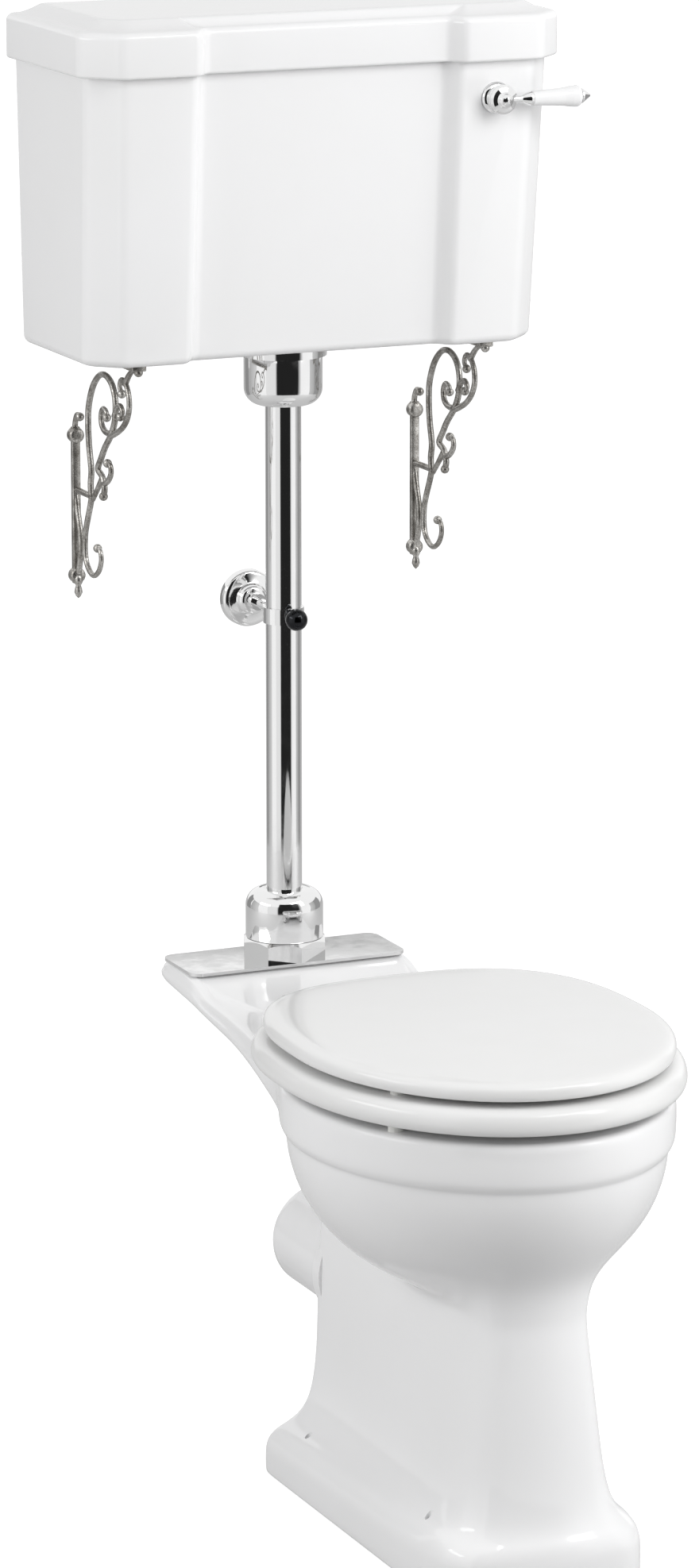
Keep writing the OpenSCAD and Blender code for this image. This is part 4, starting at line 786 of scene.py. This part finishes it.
# %% One bracket, drawn at x = 0, then its copy, each set in its place
BRACKET_HALF, BAR_Z, BOSS_HALF, BAR_OVER, BAR_T = 175, 883, 67, 8, 6
SHELF_LEN, BAR_EASE, FOOT_TIE_DROP, FOOT_TIE_LEN = 165, 1.2, 147, 44
parts = [stroke(name, *shape) for name, shape in STROKES.items()]
parts += [ball_end(*points[-1]) for name, (thin, points) in STROKES.items()
          if name not in PLAIN_ENDED]
bar_low, bar_high = BAR_Z - BOSS_HALF - BAR_OVER, BAR_Z + BOSS_HALF + BAR_OVER
parts += [block(-4, 4, 0, BAR_T, bar_low, bar_high, BAR_EASE),
          block(-7, 7, 0.5, SHELF_LEN, TANK_Z - BAR_T, TANK_Z, BAR_EASE)]
tie_z = TANK_Z + SCROLL_RISE - FOOT_TIE_DROP
parts.append(rod(at(0, 2, tie_z), at(0, FOOT_TIE_LEN, tie_z), SCROLL_R, 20))
parts += [turned("boss", [(7.5, 0), (7.5, 6), (7, 8), (5.5, 9), (2.5, 9)], at(0, 0, z), "Y", 32)
          for z in (BAR_Z - BOSS_HALF, BAR_Z + BOSS_HALF)]
parts.append(turned("finial", [(0.5, -11.5), (2.4, -9.5), (3.9, -6), (3.4, -2.5), (2.4, 0.5),
                               (4.2, 4), (4.2, 8), (3, 10)], at(0, 7, bar_low - 2), "Z", 24))
bracket = smooth(join(parts, "scroll_bracket_right"), 50)
left_bracket = bracket.copy()
left_bracket.data = bracket.data.copy()
left_bracket.name = left_bracket.data.name = "scroll_bracket_left"
bpy.context.scene.collection.objects.link(left_bracket)
for piece, side, name in ((bracket, 1, "bracket_right"), (left_bracket, -1, "bracket_left")):
    activate(piece)
    piece.location.x = side * BRACKET_HALF * MM
    bpy.ops.object.transform_apply(location=True, rotation=True, scale=True)
    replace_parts(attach(piece, "suite"), name)
print("bracket:", len(bracket.data.polygons), "faces each")

# %% [markdown]
# ## Turned and polished fittings
#
# A polished fitting is turned on a lathe, so its profile tells all of it: steps, small rounds
# where the wheel has eased an edge, and a bore. Each profile runs up the outside and back down the
# bore, and its ring of points is closed on itself. Round edges matter more on chrome than anywhere
# else, because each one draws a thin bright or dark line.

# %% Bored and turned pieces
PIPE_R, FIT_GAP = 17, 0.1


def bored(name, outside, bore, foot, axis="Z", sides=96):
    """A turned piece with a bore: the profile goes up the outside and back down the inside."""
    return turned(name, outside + bore + outside[:1], foot, axis, sides)


def eased_edge(r, h, ease_r, steps=4):
    """A round of radius ease_r from an upright wall at r to a flat at h."""
    return [(r - run, h - drop) for run, drop in reversed(quarter(ease_r, steps))]


# %% The domed cup nuts, the upper one turned over
CUP_R, CUP_HIGH, CUP_DOME, CUP_WALL, CUP_CONE = 37, 47, 16, 5, 8
PLATE_T, PLATE_NUT_H, BACK_NUT_H, WASHER_T = 3, 18, 10, 2
cup_outside = ([(TAIL_R + FIT_GAP, 0), (CUP_R - 1, 0), (CUP_R - 0.3, 0.3), (CUP_R, 1)]
               + eased_edge(CUP_R, CUP_HIGH, CUP_DOME, 12))
cup_bore = [(PIPE_R + FIT_GAP, CUP_HIGH), (PIPE_R + FIT_GAP, CUP_HIGH - CUP_WALL),
            (TAIL_R + FIT_GAP, CUP_HIGH - CUP_WALL - CUP_CONE)]
fittings = []
for name, way_up, z in (("lower", 1, LEDGE_Z + PLATE_T + PLATE_NUT_H),
                        ("upper", -1, TANK_Z - WASHER_T - BACK_NUT_H)):
    outside, bore = ([(r, way_up * h) for r, h in profile] for profile in (cup_outside, cup_bore))
    fittings.append((bored("cup_nut_" + name, outside, bore, at(0, PIPE_GAP, z)),
                     name + "_cup_nut"))

# %% Wall flange and lever rosette
FLANGE_R, FLANGE_T, STEM_R, CLAMP_Z = 27.5, 20, 5, 780
flange_outside = [(STEM_R + FIT_GAP / 2, 0)] + [(FLANGE_R - cut, h) for cut, h in (
    (0.4, 0), (0, 0.4), (0, 6.5), (0.5, 8.2), (1.6, 9.6), (3.2, 10.3), (5, 10.6), (11, 11.4),
    (12, 12), (12.6, 14), (13.4, 17), (15, 19), (17.5, FLANGE_T))]
fittings.append((bored("wall_flange", flange_outside, [(STEM_R + FIT_GAP / 2, FLANGE_T)],
                       at(0, 0, CLAMP_Z), "Y"), "pipe_wall_flange"))
SPINDLE_R, BUSH_R, BUSH_LEN, ROSETTE_T = 4, 9, 32, 14
rosette_outside = ([(BUSH_R, -BUSH_LEN), (BUSH_R, 0)] + [(ROSETTE_R - cut, h) for cut, h in (
    (0.6, 0), (0.3, 0.3), (0.3, 2.6), (0.8, 3.9), (2, 4.8), (3.4, 5.4), (3.8, 6.6), (3.6, 8.4),
    (2.4, 9.6), (1.8, 10.8), (1.9, 12.6), (3.2, 13.8))] + [(SPINDLE_R + FIT_GAP, ROSETTE_T)])
fittings.append((bored("lever_rosette", rosette_outside, [(SPINDLE_R + FIT_GAP, -BUSH_LEN)],
                       at(LEVER_X, flat_out, LEVER_Z), "Y"), "lever_bush"))
for piece, name in fittings:
    smooth(piece, 40)
    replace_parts(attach(piece, "suite"), name)
    print(name, len(piece.data.polygons), "faces")

# %% [markdown]
# ## Materials
#
# Every finish starts from what the real one is. Colours are written as sRGB hex values, as a
# colour chart gives them, and one function turns them into the linear values that the shader
# needs. One function adds a node with its settings and links. Patterns read Object coordinates,
# which are metres on every piece, so a noise scale of 1000 / 38 draws patches 38 mm across.

# %% Colours and nodes


def colour(code):
    """An sRGB hex value as linear red, green, blue and full opacity."""
    channels = [int(code[i:i + 2], 16) / 255 for i in (1, 3, 5)]
    return (*(c / 12.92 if c <= 0.04045 else ((c + 0.055) / 1.055) ** 2.4 for c in channels), 1)


def add(material, kind, inputs=None, **settings):
    """Adds a node; an input given another node's output is linked to it."""
    node = material.node_tree.nodes.new(kind)
    for key, value in settings.items():
        setattr(node, key, value)
    for name, value in (inputs or {}).items():
        if isinstance(value, bpy.types.NodeSocket):
            material.node_tree.links.new(value, node.inputs[name])
        else:
            node.inputs[name].default_value = value
    return node


def finish(name, **inputs):
    """A new material; its one shader's sockets take the given constants."""
    material = bpy.data.materials.new(name)
    material.use_nodes = True
    material.node_tree.nodes.remove(material.node_tree.nodes["Principled BSDF"])
    constants = {key.replace("_", " "): value for key, value in inputs.items()}
    shader = add(material, "ShaderNodeBsdfPrincipled", constants, name="shader")
    surface = material.node_tree.nodes["Material Output"].inputs["Surface"]
    material.node_tree.links.new(shader.outputs["BSDF"], surface)
    material.diffuse_color = shader.inputs["Base Color"].default_value
    return material


def drive(material, **links):
    """Links outputs to the shader's sockets, such as Normal=bump.outputs["Normal"]."""
    for key, output in links.items():
        socket = material.node_tree.nodes["shader"].inputs[key.replace("_", " ")]
        material.node_tree.links.new(output, socket)


# %% [markdown]
# ### Glazed vitreous china
#
# Fired clay under a thick white glaze. The glaze is glass, so its reflections are sharp, but it
# flowed while it was molten and its surface has long, very shallow waves. They make a highlight's
# edge wander a little, which is what tells the eye that it isn't plastic. The glaze is also a
# hair thinner in places, so the white is never quite one white, and here and there the firing
# left a pinhead of dust under it.

# %% Glaze
china = finish("glazed_vitreous_china", Base_Color=colour("#f3f3f3"), Roughness=0.07, IOR=1.5)
where = add(china, "ShaderNodeTexCoord")
pooling = add(china, "ShaderNodeTexNoise", {"Vector": where.outputs["Object"], "Scale": 1000 / 140,
                                            "Detail": 2.0})
white = add(china, "ShaderNodeMix", {0: pooling.outputs["Fac"], 6: colour("#f1f1f1"),
                                     7: colour("#f5f5f6")}, data_type="RGBA")
dust = add(china, "ShaderNodeTexVoronoi", {"Vector": where.outputs["Object"], "Scale": 1000 / 60,
                                           "Randomness": 1.0})
# a speck is 0.5 mm across, the size of a pinhead
speck = add(china, "ShaderNodeMapRange", {"Value": dust.outputs["Distance"], "From Min": 0.003,
                                          "From Max": 0.006, "To Min": 0.3, "To Max": 0.0})
speckled = add(china, "ShaderNodeMix", {0: speck.outputs["Result"], 6: white.outputs[2],
                                        7: colour("#b9b4aa")}, data_type="RGBA")
waves = add(china, "ShaderNodeTexNoise", {"Vector": where.outputs["Object"], "Scale": 1000 / 38,
                                          "Detail": 1.0})
flow = add(china, "ShaderNodeBump", {"Height": waves.outputs["Fac"], "Distance": 0.05 * MM,
                                     "Strength": 1.0})
drive(china, Base_Color=speckled.outputs[2], Normal=flow.outputs["Normal"])
print("glaze: waves 38 mm long and 0.05 mm high")

# %% [markdown]
# ### Polished lacquer
#
# The seat is moulded from wood flour and resin and then sprayed with many coats of white lacquer
# that are rubbed down and polished. It is a shade softer than glaze: its highlights are a little
# wider, and the polishing leaves a fine orange peel.

# %% Seat lacquer
lacquer = finish("polished_white_lacquer", Base_Color=colour("#eaeaea"), Roughness=0.16, IOR=1.5)
where = add(lacquer, "ShaderNodeTexCoord")
coats = add(lacquer, "ShaderNodeTexNoise", {"Vector": where.outputs["Object"], "Scale": 1000 / 90,
                                            "Detail": 2.0})
white = add(lacquer, "ShaderNodeMix", {0: coats.outputs["Fac"], 6: colour("#e8e8e7"),
                                       7: colour("#ececec")}, data_type="RGBA")
rubbed = add(lacquer, "ShaderNodeMapRange", {"Value": coats.outputs["Fac"], "From Min": 0.3,
                                             "From Max": 0.7, "To Min": 0.13, "To Max": 0.19})
peel = add(lacquer, "ShaderNodeTexNoise", {"Vector": where.outputs["Object"], "Scale": 1000 / 6,
                                           "Detail": 1.0})
relief = add(lacquer, "ShaderNodeBump", {"Height": peel.outputs["Fac"], "Distance": 0.006 * MM,
                                         "Strength": 1.0})
drive(lacquer, Base_Color=white.outputs[2], Roughness=rubbed.outputs["Result"],
      Normal=relief.outputs["Normal"])
print("lacquer: orange peel 6 mm long")

# %% [markdown]
# ### Chrome plate
#
# Bright chrome over polished brass is nearly a mirror, so almost all of its look is what it
# reflects. What shows that it is used are wipe marks: faint, cloudy patches of higher roughness
# where a cloth has dried. The metal under the plate was polished on a wheel, which leaves a
# ripple too low to see except in the edge of a reflection.

# %% Chrome
chrome = finish("polished_chrome_plate", Base_Color=colour("#eeeeee"), Metallic=1.0,
                Roughness=0.05)
where = add(chrome, "ShaderNodeTexCoord")
wipes = add(chrome, "ShaderNodeTexNoise", {"Vector": where.outputs["Object"], "Scale": 1000 / 18,
                                           "Detail": 4.0, "Roughness": 0.6})
cloudy = add(chrome, "ShaderNodeMapRange", {"Value": wipes.outputs["Fac"], "From Min": 0.35,
                                            "From Max": 0.7, "To Min": 0.035, "To Max": 0.1})
ripple = add(chrome, "ShaderNodeTexNoise", {"Vector": where.outputs["Object"], "Scale": 1000 / 14,
                                            "Detail": 1.0})
wheel = add(chrome, "ShaderNodeBump", {"Height": ripple.outputs["Fac"], "Distance": 0.004 * MM,
                                       "Strength": 1.0})
drive(chrome, Roughness=cloudy.outputs["Result"], Normal=wheel.outputs["Normal"])

# %% [markdown]
# ### Aged nickel on cast iron
#
# The brackets are cast, fettled by hand and nickel plated. A sand casting has a pitted skin that
# plating doesn't fill, and old nickel is duller and a touch warmer than chrome. Dirt stays in
# the hollows and hands polish what stands out, so the colour runs from a brown grey in the pits
# to a clean silver on the ridges.

# %% Nickel
nickel = finish("aged_nickel_on_cast_iron", Base_Color=colour("#aeaaa3"), Metallic=1.0,
                Roughness=0.3)
where = add(nickel, "ShaderNodeTexCoord")
tarnish = add(nickel, "ShaderNodeTexNoise", {"Vector": where.outputs["Object"], "Scale": 1000 / 12,
                                             "Detail": 3.0})
# a pit is 1.6 mm across, coarser than the real sand's 0.4 mm, which would not show
pits = add(nickel, "ShaderNodeTexNoise", {"Vector": where.outputs["Object"], "Scale": 1000 / 1.6,
                                          "Detail": 3.0, "Roughness": 0.6})
depth = add(nickel, "ShaderNodeMath", {0: tarnish.outputs["Fac"], 1: pits.outputs["Fac"]},
            operation="MULTIPLY")
patina = add(nickel, "ShaderNodeMapRange", {"Value": depth.outputs[0], "From Min": 0.12,
                                            "From Max": 0.4})
silver = add(nickel, "ShaderNodeMix", {0: patina.outputs["Result"], 6: colour("#75716b"),
                                       7: colour("#cfcdc9")}, data_type="RGBA")
dull = add(nickel, "ShaderNodeMapRange", {"Value": pits.outputs["Fac"], "From Min": 0.3,
                                          "From Max": 0.7, "To Min": 0.42, "To Max": 0.2})
cast = add(nickel, "ShaderNodeBump", {"Height": pits.outputs["Fac"], "Distance": 0.12 * MM,
                                      "Strength": 1.0})
drive(nickel, Base_Color=silver.outputs[2], Roughness=dull.outputs["Result"],
      Normal=cast.outputs["Normal"])

# %% [markdown]
# ### Turned brass
#
# The stub under the chrome and the fittings in the cistern are turned from brass bar and left as
# the lathe made them. Water dulls them to a patchy ochre. The tool's marks are finer than the
# picture can show, so they are left to a slight, uneven roughness.

# %% Brass
brass = finish("turned_brass", Base_Color=colour("#c4a45c"), Metallic=1.0, Roughness=0.3)
where = add(brass, "ShaderNodeTexCoord")
water = add(brass, "ShaderNodeTexNoise", {"Vector": where.outputs["Object"], "Scale": 1000 / 14,
                                          "Detail": 3.0})
ochre = add(brass, "ShaderNodeMix", {0: water.outputs["Fac"], 6: colour("#ab8b45"),
                                     7: colour("#dabd78")}, data_type="RGBA")
marks = add(brass, "ShaderNodeTexNoise", {"Vector": where.outputs["Object"], "Scale": 1000 / 1.5,
                                          "Detail": 2.0})
lathe = add(brass, "ShaderNodeMapRange", {"Value": marks.outputs["Fac"], "From Min": 0.3,
                                          "From Max": 0.7, "To Min": 0.24, "To Max": 0.42})
drive(brass, Base_Color=ochre.outputs[2], Roughness=lathe.outputs["Result"])

# %% [markdown]
# ### Black nickel ball
#
# The clamp's screw ends in a small polished ball that shows nearly black. Black nickel is a
# thin dark plate over bright metal, so it keeps a mirror's sharp highlight.

# %% Black nickel
ball = finish("black_nickel_ball", Base_Color=colour("#2b2c2e"), Metallic=1.0, Roughness=0.12)
where = add(ball, "ShaderNodeTexCoord")
handled = add(ball, "ShaderNodeTexNoise", {"Vector": where.outputs["Object"], "Scale": 1000 / 4,
                                           "Detail": 3.0})
film = add(ball, "ShaderNodeMapRange", {"Value": handled.outputs["Fac"], "From Min": 0.3,
                                        "From Max": 0.7, "To Min": 0.09, "To Max": 0.18})
drive(ball, Roughness=film.outputs["Result"])

# %% [markdown]
# ### Rubber and plastics
#
# The seals are moulded black rubber, matt and finely grained, with a bloom of grey on them. The
# buffers, nuts and siphon are injection moulded, with the soft sheen and fine grain of a
# blasted mould, and a slow drift of colour where the plastic flowed. Each is the same recipe
# with its own numbers, so one function makes them all.

# %% Moulded rubber and plastics


def moulded(name, light, dark, roughness, grain, relief):
    """A moulded finish: colour drift over 40 mm, grain and its relief in millimetres."""
    material = finish(name, Base_Color=colour(light), Roughness=roughness)
    where = add(material, "ShaderNodeTexCoord")
    drift = add(material, "ShaderNodeTexNoise", {"Vector": where.outputs["Object"],
                                                 "Scale": 1000 / 40, "Detail": 2.0})
    tint = add(material, "ShaderNodeMix", {0: drift.outputs["Fac"], 6: colour(dark),
                                           7: colour(light)}, data_type="RGBA")
    blasted = add(material, "ShaderNodeTexNoise", {"Vector": where.outputs["Object"],
                                                   "Scale": 1000 / grain, "Detail": 2.0})
    sheen = add(material, "ShaderNodeMapRange", {"Value": drift.outputs["Fac"], "From Min": 0.3,
                "From Max": 0.7, "To Min": 0.9 * roughness, "To Max": 1.1 * roughness})
    bump = add(material, "ShaderNodeBump", {"Height": blasted.outputs["Fac"],
                                            "Distance": relief * MM, "Strength": 1.0})
    drive(material, Base_Color=tint.outputs[2], Roughness=sheen.outputs["Result"],
          Normal=bump.outputs["Normal"])
    return material


rubber = moulded("moulded_rubber", "#2d2c2b", "#1f1e1d", 0.7, 0.8, 0.05)
white_plastic = moulded("moulded_white_plastic", "#e9e9e6", "#dededa", 0.35, 1.2, 0.03)
grey_plastic = moulded("moulded_grey_plastic", "#5b6470", "#4f5863", 0.4, 1.2, 0.03)
orange_plastic = moulded("blown_orange_float", "#d67c40", "#c1672e", 0.38, 2.0, 0.05)
print("materials:", len(bpy.data.materials))

# %% Give every node and piece its finish
FINISHES = {"glazed_ceramic": china, "seat_enamel": lacquer, "polished_chrome": chrome,
            "aged_nickel": nickel, "rubber": rubber, "brass": brass, "dark_metal": ball,
            "white_plastic": white_plastic, "grey_plastic": grey_plastic,
            "float_plastic": orange_plastic}
slots = {s["node"]: s["material_slot"] for s in frame["record"]["subparts"]}


def paint(piece, material):
    piece.data.materials.clear()
    piece.data.materials.append(material)


for name, node in nodes.items():
    paint(node, FINISHES[slots[name]])
for material, pieces in ((china, (pan, tank, tank_lid)), (lacquer, (seat_ring, seat_lid)),
                         (nickel, (bracket, left_bracket)),
                         (chrome, [piece for piece, name in fittings])):
    for piece in pieces:
        paint(piece, material)

# %% [markdown]
# ## Light
#
# White ware on white is read only from soft shading, so the light comes from large, weak sheets:
# the main one high in front, one on the left, and a low one on the right that lifts the foot's
# side. The room is white for the lens and for reflections, and half as bright for the matt light
# that it sends, so that the shadows under the rim and the lid keep their depth.

# %% World and lamps
bpy.context.scene.view_settings.view_transform = "Standard"
world = bpy.data.worlds.new("studio")
bpy.context.scene.world = world
world.use_nodes = True
rays = add(world, "ShaderNodeLightPath")
seen = rays.outputs["Is Camera Ray"]
for ray in ("Is Glossy Ray", "Is Transmission Ray"):
    seen = add(world, "ShaderNodeMath", {0: seen, 1: rays.outputs[ray]},
               operation="MAXIMUM").outputs[0]
strength = add(world, "ShaderNodeMapRange", {"Value": seen, "To Min": 0.5, "To Max": 1.0})
background = world.node_tree.nodes["Background"]
background.inputs["Color"].default_value = (1, 1, 1, 1)
world.node_tree.links.new(strength.outputs["Result"], background.inputs["Strength"])


def lamp(name, place, size, power, target):
    data = bpy.data.lights.new(name, "AREA")
    data.shape, data.size, data.energy = "SQUARE", size, power
    light = bpy.data.objects.new(name, data)
    bpy.context.scene.collection.objects.link(light)
    light.location = place
    light.rotation_euler = (target - place).to_track_quat("-Z", "Y").to_euler()


MIDDLE, PEDESTAL_SIDE = at(0, 300, 900), at(0, 450, 350)
lamp("key_sheet", at(1000, 2350, 2300), size=1.8, power=45, target=MIDDLE)
lamp("left_sheet", at(-2700, 150, 1300), size=1.8, power=35, target=MIDDLE)
lamp("low_right_sheet", at(2300, 1500, 350), size=1.4, power=20, target=PEDESTAL_SIDE)
print("lamps:", len(bpy.data.lights))

# %% [markdown]
# ## What the chrome sees
#
# Polished chrome has no shading of its own: on a white set it shows as white as the room. The
# photograph's pipe has a dark stripe down its middle and grey ones near its edges, because dark
# and grey panels stood round it. Reading a round pipe backwards gives their places: a stripe at
# a share s of the radius comes from a panel at twice the arcsine of s, turned from the lens. A
# stripe with one soft side comes from a panel whose grey runs from dark to light, and a low
# panel on the far side gives the ledge's plate its grey. Only reflections see the panels, so they
# neither light nor shade the ware.

# %% Panels on an arc round the pipe
PANEL_DISTANCE, PANEL_STEPS, DARK_FROM, DARK_TO = 2300, 6, -17, 44
# turn in degrees from and to, the grey at each end, and the lowest and highest z
PANELS = [(-144, -118, "#939393", "#939393", 0, 1500), (-114, -82, "#afafaf", "#dcdcdc", 0, 1500),
          (-82, -50, "#ffffff", "#ffffff", 0, 1500), (-50, -22, "#eeeeee", "#eeeeee", 0, 1500),
          (-22, DARK_FROM, "#f8f8f8", "#404040", 0, 1500),
          (DARK_FROM, DARK_TO, "#242424", "#242424", 0, 2600),
          (DARK_TO, 54, "#303030", "#ffffff", 0, 2600), (54, 84, "#ffffff", "#ffffff", 0, 1500),
          (84, 104, "#cbcbcb", "#b2b2b2", 0, 1500), (104, 132, "#9a9a9a", "#9a9a9a", 0, 1500),
          (174, 186, "#dcdcdc", "#707070", 800, 1050)]
print("dark stripe from", round(math.sin(math.radians(DARK_FROM / 2)), 2), "to",
      round(math.sin(math.radians(DARK_TO / 2)), 2), "of the pipe's radius")


def panel(turn_from, turn_to, grey_from, grey_to, low, high):
    """One panel: a grid bent round the pipe, whose grey runs evenly along it."""
    bpy.ops.object.select_all(action="DESELECT")
    bpy.ops.mesh.primitive_grid_add(x_subdivisions=PANEL_STEPS, y_subdivisions=1, size=1)
    piece = bpy.context.object
    piece.name = "panel_%d" % (turn_from + 360)
    for v in piece.data.vertices:
        t = AZIMUTH + math.radians(mix(turn_from, turn_to, v.co.x + 0.5))
        v.co = at(PANEL_DISTANCE * math.sin(t), PIPE_GAP + PANEL_DISTANCE * math.cos(t),
                  mix(low, high, v.co.y + 0.5))
    material = finish(piece.name, Base_Color=colour("#000000"), Emission_Strength=1.0,
                      Roughness=1.0, Specular_IOR_Level=0.0)
    across = add(material, "ShaderNodeSeparateXYZ",
                 {0: add(material, "ShaderNodeTexCoord").outputs["UV"]})
    graded = add(material, "ShaderNodeMix", {0: across.outputs["X"], 6: colour(grey_from),
                                             7: colour(grey_to)}, data_type="RGBA")
    drive(material, Emission_Color=graded.outputs[2])
    paint(piece, material)
    for kind in ("camera", "diffuse", "transmission", "shadow", "volume_scatter"):
        setattr(piece, "visible_" + kind, False)


for row in PANELS:
    panel(*row)

# %% [markdown]
# ## The floor
#
# The photograph's ground is pure white, with no line where a wall would start. A matt floor does
# that when it gives off the light that it lacks, but only to the lens. Mirrors see a weaker glow,
# or the chrome near the floor would burn out, and where the suite shades the floor it darkens.

# %% A white floor
FLOOR_SIZE, FLOOR_DROP, GLOW, MIRRORED_GLOW = 60, 0.0005, 0.85, 0.25
floor_white = finish("matt_white_floor", Base_Color=colour("#a8a8a8"), Roughness=0.9,
                     Emission_Color=colour("#ffffff"))
rays = add(floor_white, "ShaderNodeLightPath")
mirrored = add(floor_white, "ShaderNodeMath", {0: rays.outputs["Is Glossy Ray"],
                                               1: MIRRORED_GLOW}, operation="MULTIPLY")
lift = add(floor_white, "ShaderNodeMath", {0: rays.outputs["Is Camera Ray"], 1: GLOW,
                                           2: mirrored.outputs[0]}, operation="MULTIPLY_ADD")
drive(floor_white, Emission_Strength=lift.outputs[0])
bpy.ops.object.select_all(action="DESELECT")
bpy.ops.mesh.primitive_plane_add(size=FLOOR_SIZE, location=(0, 0, -FLOOR_DROP))
floor = bpy.context.object
floor.name = "floor"
paint(floor, floor_white)
